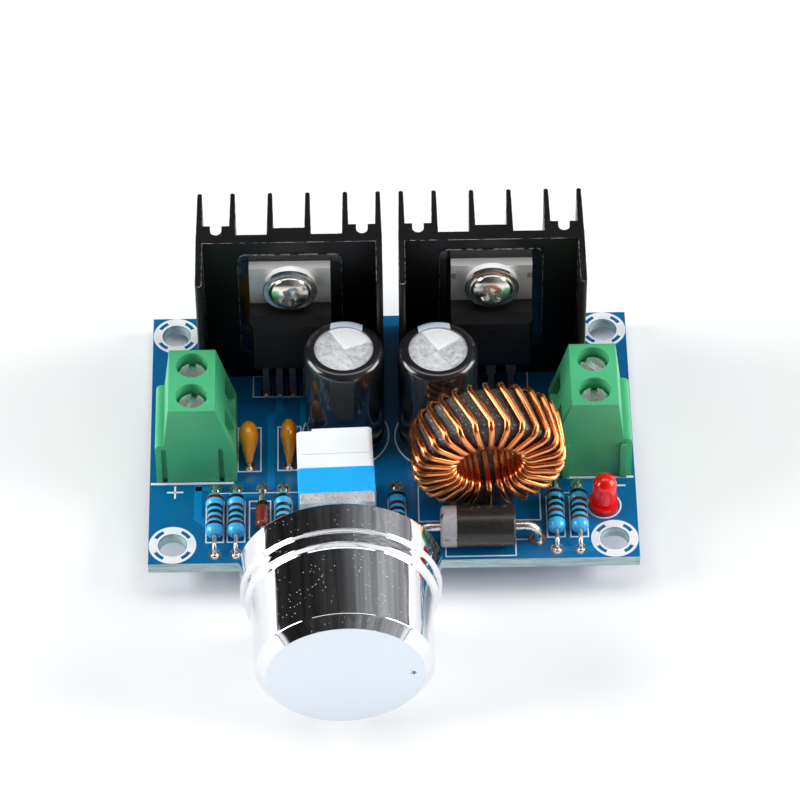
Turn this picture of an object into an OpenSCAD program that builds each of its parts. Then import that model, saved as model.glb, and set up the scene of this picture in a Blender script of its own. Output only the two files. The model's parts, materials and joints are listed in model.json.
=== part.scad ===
// Step-down converter module: two finned heatsinks, a wound choke and a
// voltage control with a knob, on one through-hole board.
// Millimetres. Origin: centre of the four mounting holes, on the underside of
// the board. +Z is up through the board, +Y points to the heatsinks, and the
// control's shaft points to -Y.

/* [Board] */
// Length of the board, left to right
board_w = 61; // [61:0.5:72]
// Depth of the board, front to back
board_d = 41; // [41:0.5:50]
// Thickness of the laminate
board_t = 1.6; // [1:0.1:2.4]
// Distance from each mounting hole's centre to the two board edges
hole_inset = 3; // [2.6:0.1:3.4]
// Diameter of the mounting holes
hole_d = 3.5; // [3:0.1:4.2]
// How far the trimmed leads stand out below the board
lead_stub = 1.4; // [0.9:0.1:2]

/* [Heatsinks] */
// Width of each heatsink over its outer walls
sink_w = 23.2; // [22.4:0.1:24]
// Height of the extrusion
sink_h = 25; // [24:1:40]
// Depth from the front ends of the side walls to the fin tips
sink_d = 15.9; // [15.5:0.1:16.5]
// Free gap between the two heatsinks
sink_gap = 2; // [1.5:0.1:3]
// How far the pair sits to the right of the board's middle
sink_shift = 0.15; // [0:0.05:0.5]
// Thickness of the two side walls
sink_wall = 0.8; // [0.6:0.05:0.9]
// Thickness of a fin where it leaves the web
fin_root = 0.9; // [0.7:0.05:1.1]
// Thickness of a fin at its rounded tip
fin_tip = 0.6; // [0.4:0.05:0.7]
// Distance from the front ends of the walls to the web
web_front = 7.35; // [7.3:0.05:8]
// Thickness of the web between the fins
web_t = 1.4; // [1.2:0.1:1.8]
// Thickness of the web in the middle bay, round the tapped hole
boss_t = 2.5; // [2:0.1:3]
// Thickness of the web at the pin grooves
pin_land_t = 2.95; // [2.6:0.05:3.4]
// Diameter of the two solder pins pressed into each heatsink
sink_pin_d = 1.36; // [1:0.02:1.5]

/* [Power devices] */
// Width of the metal tab and of the moulded body
device_w = 10.15; // [9.8:0.05:10.5]
// Whole thickness, from the back of the tab to the front of the body
device_t = 4.5; // [4.3:0.1:4.8]
// Height of the tab, from the bottom of the body to its top edge
device_h = 15.4; // [15:0.1:16]
// Thickness of the tab
tab_t = 1.3; // [1.1:0.05:1.4]
// Height of the body above the board
device_lift = 6.35; // [5:0.05:7]
// Distance from the tab's top edge down to its screw hole
tab_hole_drop = 2.7; // [2.6:0.05:2.9]
// Distance between the leads of the left device
lead_pitch_5 = 1.7; // [1.6:0.02:1.8]
// Distance between the leads of the right device
lead_pitch_3 = 2.54; // [2.4:0.02:2.7]
// Width of the insulating sheet
sheet_w = 13; // [12.5:0.1:14]
// Height of the insulating sheet
sheet_h = 18; // [17:0.1:18.4]
// Thickness of the insulating sheet
sheet_t = 0.15; // [0.1:0.01:0.3]
// Thread diameter of the tab screws
screw_d = 3; // [2.5:0.1:3]
// Head diameter of the tab screws
screw_head_d = 5.5; // [5:0.1:5.8]
// Outer diameter of the plain washers
washer_d = 6.8; // [6:0.1:7]
// Flange diameter of the insulating bushes
bush_d = 6.4; // [5.8:0.1:6.8]

/* [Terminal blocks] */
// Distance between the two poles
pole_pitch = 5.08; // [5:0.04:5.4]
// Depth of the housing, from the wire side to the inner side
block_d = 10.1; // [10:0.1:11]
// Height of the housing
block_h = 13.5; // [13.2:0.1:14.5]
// Width of the flat top
block_top = 5.8; // [5.6:0.05:6]
// Distance from the wire side to the edge of the flat top
block_top_inset = 1.9; // [1.8:0.05:2.1]
// Height of the rounded ledge on the wire side
ledge_h = 7; // [6.6:0.1:7.4]
// Height at which the inner side starts to slope
slope_h = 5.1; // [4.6:0.1:5.6]
// Diameter of the screw wells
well_d = 4; // [3.7:0.1:4.2]
// Head diameter of the clamp screws
clamp_head_d = 3.4; // [3.2:0.1:3.6]
// Thread diameter of the clamp screws
clamp_screw_d = 3; // [2.6:0.1:3]
// Depth of a clamp screw's head below the top of the housing
clamp_head_drop = 1.9; // [1.5:0.1:2.2]
// How far a clamp cage rises from open to closed
clamp_travel = 2; // [1:0.1:2]
// Distance from the left board edge to the left block
block_inset_left = 0.9; // [0.3:0.1:1.2]
// Distance from the right board edge to the right block
block_inset_right = 0.5; // [0.1:0.1:0.8]
// Distance from the board's middle forward to the middle of the blocks
block_y = 2.13; // [2:0.01:2.2]
// Gap between the blocks and the heatsinks' walls
block_gap = 0.05; // [0.05:0.05:1]

/* [Electrolytic capacitors] */
// Outer diameter over the sleeve
cap_d = 10; // [9.6:0.1:10.4]
// Height above the board
cap_h = 16.5; // [15:0.5:25]
// Thickness of the shrunk sleeve
sleeve_t = 0.2; // [0.1:0.05:0.3]
// Distance between the two leads
cap_pitch = 5; // [4.5:0.1:5.2]

/* [Choke] */
// Outer diameter of the ring core
core_od = 17.5; // [17:0.1:17.8]
// Inner diameter of the ring core
core_id = 9.4; // [9.4:0.1:10.5]
// Thickness of the ring core along its axis
core_h = 6; // [5:0.1:6.4]
// Rounding of the core's edges
core_round = 0.7; // [0.4:0.1:1]
// Diameter of the copper wire
wire_d = 0.88; // [0.6:0.02:0.88]
// Number of turns
turns = 27; // [12:1:27]
// Angle at the foot of the ring that has no turns
winding_gap = 36; // [34:1:90]
// How far the ring leans forward
choke_lean = 7.5; // [0:0.5:9]
// How far the ring is turned to the right
choke_turn = 5; // [0:0.5:6]
// How far the ring reaches over the sloped side of the right block
choke_reach = 1.46; // [1:0.02:1.5]
// Centre of the ring, from the front edge of the board
choke_from_front = 9.7; // [9.6:0.05:10]

/* [Voltage control] */
// Width of the control's body
control_w = 9.5; // [9:0.1:9.6]
// Height of the control's body above the board
control_h = 11.35; // [11:0.05:12.5]
// Thickness of the metal front plate
plate_t = 1.6; // [1.2:0.1:2]
// Depth of the resistive section
wafer_d = 3.9; // [3.4:0.1:4]
// Depth of the switch's front half
switch_front_d = 2.1; // [1.4:0.1:2.2]
// Depth of the switch's rear half
switch_rear_d = 3.9; // [3.6:0.1:4.4]
// Height of the shaft's axis above the board
shaft_z = 6.5; // [6:0.1:7]
// Diameter of the shaft
shaft_d = 6; // [5:0.1:6]
// Length of the shaft in front of the plate
shaft_l = 17.5; // [14:0.5:18.5]
// Diameter of the mounting bush
bush_thread_d = 7; // [6.8:0.1:8]
// Length of the mounting bush
bush_l = 5; // [4:0.1:5]
// Distance from the front edge of the board to the control's front plate
control_inset = 0.6; // [0.2:0.1:0.8]
// How far the control leans forward in its solder joints
control_lean = 3; // [0:0.5:4]
// How far the control is turned to the right
control_turn = 1.8; // [0:0.1:2]

/* [Knob] */
// Diameter of the flange at its rear edge
flange_d = 24.9; // [20:0.1:28]
// Length of the flange
flange_l = 4.1; // [3:0.1:6]
// Height of the sloped step after the flange
step_h = 1.1; // [0.5:0.1:1.4]
// Length of the sloped step after the flange
step_l = 1.6; // [0.8:0.1:2.4]
// Diameter of the grip at its front edge
grip_d = 21.7; // [19:0.1:21.9]
// Length of the whole knob
knob_l = 16.7; // [15:0.1:22]
// Size of the bevel round the front face
knob_bevel = 1.25; // [0.5:0.05:2]
// Distance from the front plate to the back of the knob
knob_gap = 5.65; // [5.15:0.05:6]

/* [Small parts] */
// Diameter of a resistor's end caps
resistor_d = 2.25; // [1.9:0.05:2.3]
// Length of a resistor's body
resistor_l = 6.4; // [6:0.1:6.8]
// Distance between the holes of a resistor or the glass diode
axial_pitch = 10.5; // [10:0.1:11]
// Distance from the front edge of the board to the nearest axial leads
axial_inset = 1.45; // [1.2:0.05:1.8]
// Diameter of the power diode
diode_d = 5.2; // [4.8:0.1:5.3]
// Length of the power diode
diode_l = 9.3; // [8.8:0.1:9.6]
// Distance between the holes of the power diode
diode_pitch = 14.8; // [14:0.1:15]
// Diameter of the lamp's body
led_d = 3; // [2.8:0.1:3.2]
// Height of the lamp
led_h = 5.3; // [4.5:0.1:6]
// Distance from the front edge of the board to the middle of the lamp
led_inset = 8.3; // [7.5:0.1:9]
// Distance from the front edge of the board to the axis of the power diode
diode_inset = 3.1; // [2.8:0.1:3.3]

/* [Hidden] */
$fn = 48;
eps = 0.01;
fit = 0.05;
cut = 1;

board_front = -board_d / 2;
board_rear = board_d / 2;
stub_z = -lead_stub;

// Heatsinks and the devices screwed to them
block_l = 2 * pole_pitch;
sink_y = block_l / 2 - block_y + block_gap;
sink_x_left = sink_shift - (sink_gap + sink_w) / 2;
sink_x_right = sink_shift + (sink_gap + sink_w) / 2;
web_y = sink_y + web_front;
fin_pitch = 4.69;
groove_inset = 2.5;
groove_land = 4.2;
sink_pin_grip = 7;
groove_x = sink_w / 2 - groove_inset;
groove_y = web_y + web_t + sink_pin_d / 2 + 0.02;
tab_back_y = web_y - sheet_t;
tab_front_y = tab_back_y - tab_t;
device_front_y = tab_back_y - device_t;
washer_gap = 0.15;
device_body_h = device_h - tab_hole_drop - washer_d / 2 - washer_gap;
device_lead_y = (tab_front_y + device_front_y) / 2 + 0.1;
screw_z = device_lift + device_h - tab_hole_drop;
bush_t = 1;
washer_t = 0.5;
head_y = tab_front_y - bush_t - washer_t;
sheet_rise = [4.9, 5.3];
lead5_w = 0.82;
lead3_w = 0.75;
lead3_shoulder_w = 1.25;
lead_t = 0.5;
device_land = (lead_pitch_5 - 0.1 - norm([lead5_w, lead_t])) / 2;

// Electrolytic capacitors, each one set against the corner of a side wall
cap_gap = 0.05;
cap_reach = cap_d / 2 + cap_gap;
wall_left_x = sink_x_left + sink_w / 2 - sink_wall;
wall_right_x = sink_x_right - sink_w / 2 + sink_wall;
cap_angles = [34, 39];
cap_left = [wall_left_x - cap_reach * cos(cap_angles[0]), sink_y - cap_reach * sin(cap_angles[0])];
cap_right = [wall_right_x + cap_reach * cos(cap_angles[1]), sink_y - cap_reach * sin(cap_angles[1])];

// Terminal blocks
block_x_left = -board_w / 2 + block_inset_left;
block_x_right = board_w / 2 - block_inset_right;
pole_u = block_top_inset + block_top / 2;
head_top = block_h - clamp_head_drop;
head_t = 1.3;
head_seat = head_top - head_t;
seat_t = 0.5;
chamber_top = head_seat - seat_t;
cage_w = 3.9;
cage_wall = 0.5;
cage_l = clamp_screw_d + 0.3 + 2 * cage_wall;
cage_h = 5.6;
nut_t = 1.4;
cage_top = chamber_top - clamp_travel - 0.1;
cage_bottom = cage_top - cage_h;
tongue_z = cage_bottom + cage_wall + clamp_travel + 0.5;
tongue_t = 0.8;
screw_tip = tongue_z + tongue_t + fit;
terminal_pin_u = 7.9;
key_depth = 0.42;
key_h = ledge_h - 0.8;
key_us = [1.05, 8.2];
slot_angles = [[90, 75], [-45, 90]];

// Choke
choke_clear = 0.03;
wire_r = wire_d / 2;
wrap = wire_r + choke_clear;
choke_x = block_x_right - block_d + choke_reach - core_od / 2 - wrap - wire_r;
choke_y = board_front + choke_from_front;
choke_z = (core_od / 2 + wrap) * cos(choke_lean) + (core_h / 2) * sin(choke_lean) + wire_r + 0.15;
start_angle = -90;
wrap_out = core_od / 2 + wrap;
wrap_in = core_id / 2 - wrap;
wrap_y = core_h / 2 + wrap;
wrap_round = core_round + wrap;
corner_steps = [0:30:90];
// As many turns as were asked for, or as many as fit side by side in the hole
closest_turns = 2 * asin((wire_d + 0.01) / (2 * wrap_in));
turns_made = min(turns, floor((360 - winding_gap) / closest_turns) + 1);
turn_pitch = (360 - winding_gap) / (turns_made - 1);

// Row of parts along the front edge, from the left mounting hole to the right
// edge: their widths, and gaps that share the room that the widths leave
glass_d = 1.7;
glass_l = 4;
axial_lead_d = 0.55;
diode_lead_d = 1.2;
led_flange_d = 3.85;
function total(v, n) = n < 0 ? 0 : v[n] + total(v, n - 1);
row_start = -board_w / 2 + hole_inset + hole_d / 2;
row_widths = [resistor_d, resistor_d, glass_d, resistor_d, control_w, resistor_d,
    diode_pitch + diode_lead_d, resistor_d, resistor_d, led_flange_d];
row_gaps = [2.4, 0.4, 1.3, 0.65, 0.95, 1.5, 0.8, 0.7, 0.65, 0.15, 2.2];
row_room = board_w / 2 - row_start - total(row_widths, len(row_widths) - 1);
row_scale = row_room / total(row_gaps, len(row_gaps) - 1);
row_x = [for (i = [0:len(row_widths) - 1])
    row_start + row_scale * total(row_gaps, i) + total(row_widths, i - 1) + row_widths[i] / 2];
resistor_xs = [row_x[0], row_x[1], row_x[3], row_x[5], row_x[7], row_x[8]];
glass_x = row_x[2];
diode_x = row_x[6];
axial_y = board_front + axial_inset + axial_pitch / 2;
diode_y = board_front + diode_inset;

// Dipped capacitors between the left block and the left can: x, thickness,
// height of the body's middle, half height
dipped_ts = [2.5, 2.1];
dipped_gaps = [0.25, 2.75, 1.05];
dipped_start = block_x_left + block_d;
dipped_room = cap_left[0] - cap_d / 2 - dipped_start - total(dipped_ts, 1);
dipped_scale = dipped_room / total(dipped_gaps, 2);
dipped = [
    [dipped_start + dipped_scale * dipped_gaps[0] + dipped_ts[0] / 2, dipped_ts[0], 3.2, 1.8],
    [dipped_start + dipped_scale * total(dipped_gaps, 1) + dipped_ts[0] + dipped_ts[1] / 2, dipped_ts[1],
        3.4, 1.95]];
dipped_y = -2.4;
dipped_pitch = 5.08;
dipped_half_w = 1.9;
dipped_foot = 1;
dipped_lead_d = 0.5;

// Indicator lamp
led_x = row_x[9];
led_y = board_front + led_inset;
led_lead_w = 0.5;
led_pitch = 2.54;
led_lift = 0.3;

// Voltage control, in its own leaning frame
control_x = row_x[4];
control_y = board_front + control_inset;
wafer_pin_pitch = 2.5;
wafer_pin_y = plate_t + wafer_d / 2;
switch_pin_y = plate_t + wafer_d + switch_front_d + switch_rear_d / 2;
switch_pin_x = 2.5;
foot_x = control_w / 2 - 1.2;
foot_y = plate_t / 2;
pin_w = 0.8;
pin_t = 0.4;
spigot_d = 3;

// Holes and solder joints of every lead: x, y, diameter round the lead
function turned(p, a) = [p[0] * cos(a) - p[1] * sin(a), p[0] * sin(a) + p[1] * cos(a)];
function control_spot(x, y) = [control_x, control_y]
    + turned([x, y / cos(control_lean) + (board_t + 0.1) * tan(control_lean)], control_turn);
function leads_at(points, d) = [for (p = points) [p[0], p[1], d]];

device_leads = concat(
    leads_at([for (i = [-2:2]) [sink_x_left + i * lead_pitch_5, device_lead_y]], norm([lead5_w, lead_t])),
    leads_at([for (i = [-1:1]) [sink_x_right + i * lead_pitch_3, device_lead_y]], norm([lead3_w, lead_t])));
sink_leads = leads_at([for (x = [sink_x_left, sink_x_right], s = [-1, 1]) [x + s * groove_x, groove_y]],
    sink_pin_d);
cap_leads = leads_at([for (c = [cap_left, cap_right], s = [-1, 1]) [c[0], c[1] + s * cap_pitch / 2]], 0.6);
axial_leads = leads_at([for (x = concat(resistor_xs, [glass_x]), s = [-1, 1])
    [x, axial_y + s * axial_pitch / 2]], axial_lead_d);
diode_leads = leads_at([for (s = [-1, 1]) [diode_x + s * diode_pitch / 2, diode_y]], diode_lead_d);
dipped_leads = leads_at([for (c = dipped, s = [-1, 1]) [c[0], dipped_y + s * dipped_pitch / 2]],
    dipped_lead_d);
led_leads_at = leads_at([for (s = [-1, 1]) [led_x + s * led_pitch / 2, led_y]], norm([led_lead_w, led_lead_w]));
terminal_leads = leads_at(concat(
    [for (s = [-1, 1]) [block_x_left + terminal_pin_u, s * pole_pitch / 2 - block_y]],
    [for (s = [-1, 1]) [block_x_right - terminal_pin_u, s * pole_pitch / 2 - block_y]]), norm([1, tongue_t]));
choke_leads = leads_at([choke_foot(0), choke_foot(1)], wire_d);
control_leads = leads_at(concat(
    [for (i = [-1:1]) control_spot(i * wafer_pin_pitch, wafer_pin_y)],
    [for (s = [-1, 1]) control_spot(s * switch_pin_x, switch_pin_y)],
    [for (s = [-1, 1]) control_spot(s * foot_x, foot_y)]), norm([pin_w, pin_t]) + 0.14);
all_leads = concat(device_leads, sink_leads, cap_leads, axial_leads, diode_leads, dipped_leads, led_leads_at,
    terminal_leads, choke_leads, control_leads);

// ---- Board and solder ----

module board() {
    color("#12386b")
        linear_extrude(board_t)
            difference() {
                square([board_w, board_d], center = true);
                for (x = [-1, 1], y = [-1, 1])
                    translate([x * (board_w / 2 - hole_inset), y * (board_d / 2 - hole_inset)]) circle(d = hole_d);
                for (p = all_leads) translate([p[0], p[1]]) circle(d = p[2] + 0.3);
            }
}

// A fillet of solder that climbs a lead below the board, round a hole of the
// given radius; land is how far it spreads round the lead
module solder_joint(lead_d, bore_r, land = 0.6) {
    pad_r = lead_d / 2 + land;
    neck_r = lead_d / 2 + 0.12;
    rotate_extrude()
        polygon([[bore_r, 0], [pad_r, 0], [pad_r - 0.1, -0.15], [neck_r + 0.12, -0.5],
            [neck_r, -0.85], [bore_r, -0.85]]);
}

module solder_joints() {
    color("#c9ccce") {
        for (p = concat(sink_leads, cap_leads, axial_leads, diode_leads, dipped_leads, choke_leads))
            translate([p[0], p[1], 0]) solder_joint(p[2], p[2] / 2);
        // flat leads are cut out of the solder in their own shape
        difference() {
            for (p = device_leads) translate([p[0], p[1], 0]) solder_joint(p[2], 0, device_land);
            for (p = concat(led_leads_at, terminal_leads, control_leads))
                translate([p[0], p[1], 0]) solder_joint(p[2], 0);
            regulator_leads();
            rectifier_leads();
            lamp_leads();
            terminal_contacts(false);
            terminal_contacts(true);
            control_pins();
            control_feet();
        }
    }
}

// ---- Heatsinks ----

// A tapered fin or wall end with a round tip; it leaves the web at y = y0
module fin_outline(x, y0, y1, root, tip) {
    polygon([[x - root / 2, y0], [x + root / 2, y0], [x + tip / 2, y1 - tip / 2], [x - tip / 2, y1 - tip / 2]]);
    translate([x, y1 - tip / 2]) circle(d = tip, $fn = 24);
}

// The cross-section of the extrusion, with the front ends of the walls at y = 0
module sink_outline() {
    half = sink_w / 2;
    wall_x = half - sink_wall / 2;
    outer_fin_x = half - fin_root / 2 + 0.05;
    difference() {
        union() {
            translate([-half + eps, web_front]) square([sink_w - 2 * eps, web_t]);
            translate([-fin_pitch / 2, web_front]) square([fin_pitch, boss_t]);
            for (s = [-1, 1]) {
                translate([s * groove_x - groove_land / 2, web_front]) square([groove_land, pin_land_t]);
                translate([s * wall_x - sink_wall / 2, sink_wall / 2])
                    square([sink_wall, web_front + web_t - sink_wall / 2]);
                translate([s * wall_x, sink_wall / 2]) circle(d = sink_wall, $fn = 24);
                fin_outline(s * fin_pitch / 2, web_front + eps, sink_d, fin_root, fin_tip);
                fin_outline(s * fin_pitch * 3 / 2, web_front + eps, sink_d, fin_root, fin_tip);
                fin_outline(s * (half - fin_root / 2), web_front + eps, sink_d, fin_root, fin_tip);
            }
        }
        for (s = [-1, 1]) {
            translate([s * groove_x, groove_y - sink_y]) circle(d = sink_pin_d + 0.04);
            translate([s * groove_x - sink_pin_d / 2 - 0.02, groove_y - sink_y])
                square([sink_pin_d + 0.04, pin_land_t + cut]);
        }
    }
}

module heatsink(x) {
    color("#17181a")
        translate([x, sink_y, board_t])
            difference() {
                linear_extrude(sink_h) sink_outline();
                translate([0, web_front - cut, screw_z])
                    rotate([-90, 0, 0]) cylinder(d = screw_d + 2 * fit, h = boss_t + 2 * cut);
            }
}

module heatsink_pins() {
    color("#b9bcbf")
        for (p = sink_leads)
            translate([p[0], p[1], stub_z]) cylinder(d = sink_pin_d, h = board_t + lead_stub + sink_pin_grip);
}

// ---- Power devices ----

// Metal tab with the screw hole and, on request, the two side notches
module device_tab(x, notched) {
    half = device_w / 2;
    corner = 0.9;
    color("#b4b6b6")
        translate([x, tab_back_y, board_t + device_lift])
            rotate([90, 0, 0])
                linear_extrude(tab_t)
                    difference() {
                        polygon([[-half, 0], [half, 0], [half, device_h - corner], [half - corner, device_h],
                            [-half + corner, device_h], [-half, device_h - corner]]);
                        translate([0, device_h - tab_hole_drop]) circle(d = screw_d + 0.8);
                        if (notched)
                            for (s = [-1, 1])
                                translate([s * half, device_h - tab_hole_drop + 0.75])
                                    square([1.2, 1], center = true);
                    }
}

// Moulded body: bevelled all round the front, with a shallow ejector mark
module device_body(x) {
    half = device_w / 2;
    depth = device_t - tab_t;
    bevel = 0.35;
    color("#202124")
        translate([x, tab_front_y, board_t + device_lift])
            difference() {
                intersection() {
                    translate([-half, 0, 0])
                        rotate([90, 0, 90])
                            linear_extrude(device_w)
                                polygon([[0, 0], [-depth + bevel, 0], [-depth, bevel],
                                    [-depth, device_body_h - 1.1], [-depth + 1, device_body_h], [0, device_body_h]]);
                    linear_extrude(device_body_h)
                        polygon([[-half, 0], [-half, -depth + bevel], [-half + bevel, -depth],
                            [half - bevel, -depth], [half, -depth + bevel], [half, 0]]);
                }
                translate([0, -depth + 0.12, device_body_h - 2.4]) rotate([90, 0, 0]) cylinder(d = 1.5, h = cut);
            }
}

module flat_lead(x, w) {
    translate([x - w / 2, device_lead_y - lead_t / 2, stub_z])
        cube([w, lead_t, board_t + lead_stub + device_lift]);
}

module regulator_tab() { device_tab(sink_x_left, false); }
module regulator_body() { device_body(sink_x_left); }
module regulator_leads() {
    color("#c3c5c6") for (i = [-2:2]) flat_lead(sink_x_left + i * lead_pitch_5, lead5_w);
}

module rectifier_tab() { device_tab(sink_x_right, true); }
module rectifier_body() { device_body(sink_x_right); }
module rectifier_leads() {
    shoulder_h = 3;
    color("#c3c5c6")
        for (i = [-1:1]) {
            x = sink_x_right + i * lead_pitch_3;
            union() {
                flat_lead(x, lead3_w);
                translate([x - lead3_shoulder_w / 2, device_lead_y - lead_t / 2,
                    board_t + device_lift - shoulder_h])
                    cube([lead3_shoulder_w, lead_t, shoulder_h]);
            }
        }
}

module insulator(x, rise) {
    corner = 1;
    color("#c8c4b8", 0.5)
        translate([x, web_y, board_t])
            rotate([90, 0, 0])
                linear_extrude(sheet_t)
                    difference() {
                        translate([0, rise + sheet_h / 2])
                            union() {
                                square([sheet_w - 2 * corner, sheet_h], center = true);
                                square([sheet_w, sheet_h - 2 * corner], center = true);
                                for (sx = [-1, 1], sy = [-1, 1])
                                    translate([sx * (sheet_w / 2 - corner), sy * (sheet_h / 2 - corner)])
                                        circle(r = corner, $fn = 32);
                            }
                        translate([0, screw_z]) circle(d = screw_d + 0.6);
                    }
}

// Everything on a tab screw turns about an axis that points to -Y
module on_tab_screws(y) {
    for (x = [sink_x_left, sink_x_right]) translate([x, y, board_t + screw_z]) rotate([90, 0, 0]) children();
}

module insulating_bushes() {
    bore_r = screw_d / 2 + fit;
    color("#efeee8")
        on_tab_screws(tab_front_y)
            rotate_extrude()
                polygon([[bore_r, -tab_t + 0.1], [screw_d / 2 + 0.35, -tab_t + 0.1], [screw_d / 2 + 0.35, 0],
                    [bush_d / 2, 0], [bush_d / 2, bush_t - 0.15], [bush_d / 2 - 0.15, bush_t], [bore_r, bush_t]]);
}

module tab_washers() {
    edge = 0.1;
    color("#d6d8da")
        on_tab_screws(tab_front_y - bush_t)
            rotate_extrude()
                polygon([[screw_d / 2 + 0.1, 0], [washer_d / 2, 0], [washer_d / 2, washer_t - edge],
                    [washer_d / 2 - edge, washer_t], [screw_d / 2 + 0.1, washer_t]]);
}

// Pan head screws with a cross recess
module tab_screws() {
    head_h = 2.1;
    crown = 0.75;
    head_r = screw_head_d / 2;
    reach = head_y - web_y;
    shank = -reach + boss_t + 0.3;
    color("#e4e5e6")
        on_tab_screws(head_y)
            difference() {
                union() {
                    rotate_extrude()
                        polygon(concat([[0, 0], [head_r, 0]],
                            [for (a = [0:15:75]) [head_r - crown + crown * cos(a), head_h - crown + crown * sin(a)]],
                            [[head_r - crown, head_h], [0, head_h]]));
                    translate([0, 0, -shank]) cylinder(d = screw_d, h = shank + eps);
                }
                for (a = [0, 90])
                    rotate(a) translate([-1.35, -0.35, head_h - 1.2]) cube([2.7, 0.7, 1.2 + cut]);
            }
}

// ---- Terminal blocks ----

// Places a part in a block's own frame: u = 0 at the wire side, growing inwards,
// y from the block's middle. The right block is the left one turned half round.
module in_block(right) {
    translate([right ? block_x_right : block_x_left, -block_y, board_t]) rotate(right ? 180 : 0) children();
}

// Side view of the housing: steep wire side with a round ledge, sloped inner side
module block_outline() {
    ledge_w = 1.1;
    ledge_r = 0.8;
    polygon(concat(
        [[0, 0], [block_d, 0], [block_d, slope_h], [block_top_inset + block_top, block_h],
            [block_top_inset, block_h], [ledge_w, ledge_h]],
        [for (a = [90:15:180]) [ledge_r + ledge_r * cos(a), ledge_h - ledge_r + ledge_r * sin(a)]]));
}

// Dovetail seen from above; neck at y = 0
module dovetail(extra) {
    polygon([[-0.28 - extra, -eps], [0.28 + extra, -eps], [0.45 + extra, key_depth + extra],
        [-0.45 - extra, key_depth + extra]]);
}

module terminal_housing(right) {
    chamber_w = cage_w + 0.2;
    chamber_l = cage_l + 0.2;
    chamber_floor = cage_bottom - 0.3;
    entry_w = 3.4;
    entry_h = 3.3;
    window_w = 2.6;
    window_z = slope_h + 0.5;
    window_h = 4;
    color("#2f9e63")
        in_block(right)
            difference() {
                union() {
                    translate([0, block_l / 2, 0])
                        rotate([90, 0, 0]) linear_extrude(block_l) block_outline();
                    for (u = key_us) translate([u, block_l / 2, 0]) linear_extrude(key_h) dovetail(0);
                }
                for (u = key_us)
                    translate([u, -block_l / 2, -cut]) linear_extrude(key_h + cut) dovetail(0.04);
                for (s = [-1, 1])
                    translate([pole_u, s * pole_pitch / 2, 0]) {
                        translate([-chamber_w / 2, -chamber_l / 2, chamber_floor])
                            cube([chamber_w, chamber_l, chamber_top - chamber_floor]);
                        translate([0, 0, head_seat]) cylinder(d = well_d, h = block_h);
                        translate([0, 0, chamber_top - eps])
                            cylinder(d = clamp_screw_d + 4 * fit, h = block_h);
                        // wire entry, with a round top
                        translate([-pole_u - cut, -entry_w / 2, cage_bottom + cage_wall - 0.2])
                            cube([pole_u + cut, entry_w, entry_h - entry_w / 4]);
                        translate([-pole_u - cut, 0, cage_bottom + cage_wall - 0.2 + entry_h - entry_w / 2])
                            rotate([0, 90, 0]) cylinder(d = entry_w, h = pole_u + cut);
                        // opening in the sloped side
                        translate([0, -window_w / 2, window_z])
                            cube([block_d, window_w, window_h]);
                        // seat of the contact, open to the underside
                        translate([terminal_pin_u - pole_u - tongue_t / 2 - fit, -1.3, -cut])
                            cube([tongue_t + 2 * fit, 2.6, tongue_z + tongue_t + fit + cut]);
                        translate([0, -1.3, tongue_z - fit])
                            cube([terminal_pin_u - pole_u + tongue_t / 2 + fit, 2.6, tongue_t + 2 * fit]);
                    }
            }
}

// Two bent strips: a tongue through the cage, a leg down and a narrow solder pin
module terminal_contacts(right) {
    strip_w = 2.4;
    pin_w = 1;
    color("#c8cacc")
        in_block(right)
            for (s = [-1, 1])
                translate([0, s * pole_pitch / 2, 0])
                    union() {
                        translate([pole_u - 1.7, -strip_w / 2, tongue_z])
                            cube([terminal_pin_u + tongue_t / 2 - pole_u + 1.7, strip_w, tongue_t]);
                        translate([terminal_pin_u - tongue_t / 2, -strip_w / 2, 0.4])
                            cube([tongue_t, strip_w, tongue_z - 0.4 + eps]);
                        translate([terminal_pin_u - tongue_t / 2, -pin_w / 2, -board_t - lead_stub])
                            cube([tongue_t, pin_w, board_t + lead_stub + 0.4 + eps]);
                    }
}

// Slotted screw, held at its place by the housing
module clamp_screw(right, side) {
    head_r = clamp_head_d / 2;
    edge = 0.25;
    turn = slot_angles[right ? 1 : 0][side > 0 ? 0 : 1];
    y_sign = right ? -side : side;
    color("#aab0b4")
        in_block(right)
            translate([pole_u, y_sign * pole_pitch / 2, 0])
                rotate(right ? turn + 180 : turn)
                    difference() {
                        union() {
                            translate([0, 0, head_seat])
                                rotate_extrude()
                                    polygon([[0, 0], [head_r, 0], [head_r, head_t - edge],
                                        [head_r - edge, head_t], [0, head_t]]);
                            translate([0, 0, screw_tip])
                                cylinder(d = clamp_screw_d, h = head_seat - screw_tip + eps);
                        }
                        translate([-head_r - cut, -0.42, head_top - 0.8]) cube([2 * head_r + 2 * cut, 0.84, cut + 1]);
                    }
}

// Cage with a tapped top: it climbs the screw and lifts the wire to the tongue
module clamp_cage(right, side) {
    y_sign = right ? -side : side;
    color("#b7babd")
        in_block(right)
            translate([pole_u, y_sign * pole_pitch / 2, cage_bottom])
                difference() {
                    translate([-cage_w / 2, -cage_l / 2, 0]) cube([cage_w, cage_l, cage_h]);
                    translate([-cage_w / 2 - cut, -cage_l / 2 + cage_wall, cage_wall])
                        cube([cage_w + 2 * cut, cage_l - 2 * cage_wall, cage_h - cage_wall - nut_t]);
                    translate([0, 0, cage_h - nut_t - cut])
                        cylinder(d = clamp_screw_d + 2 * fit, h = nut_t + 2 * cut);
                }
}

// ---- Electrolytic capacitors ----

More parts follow.
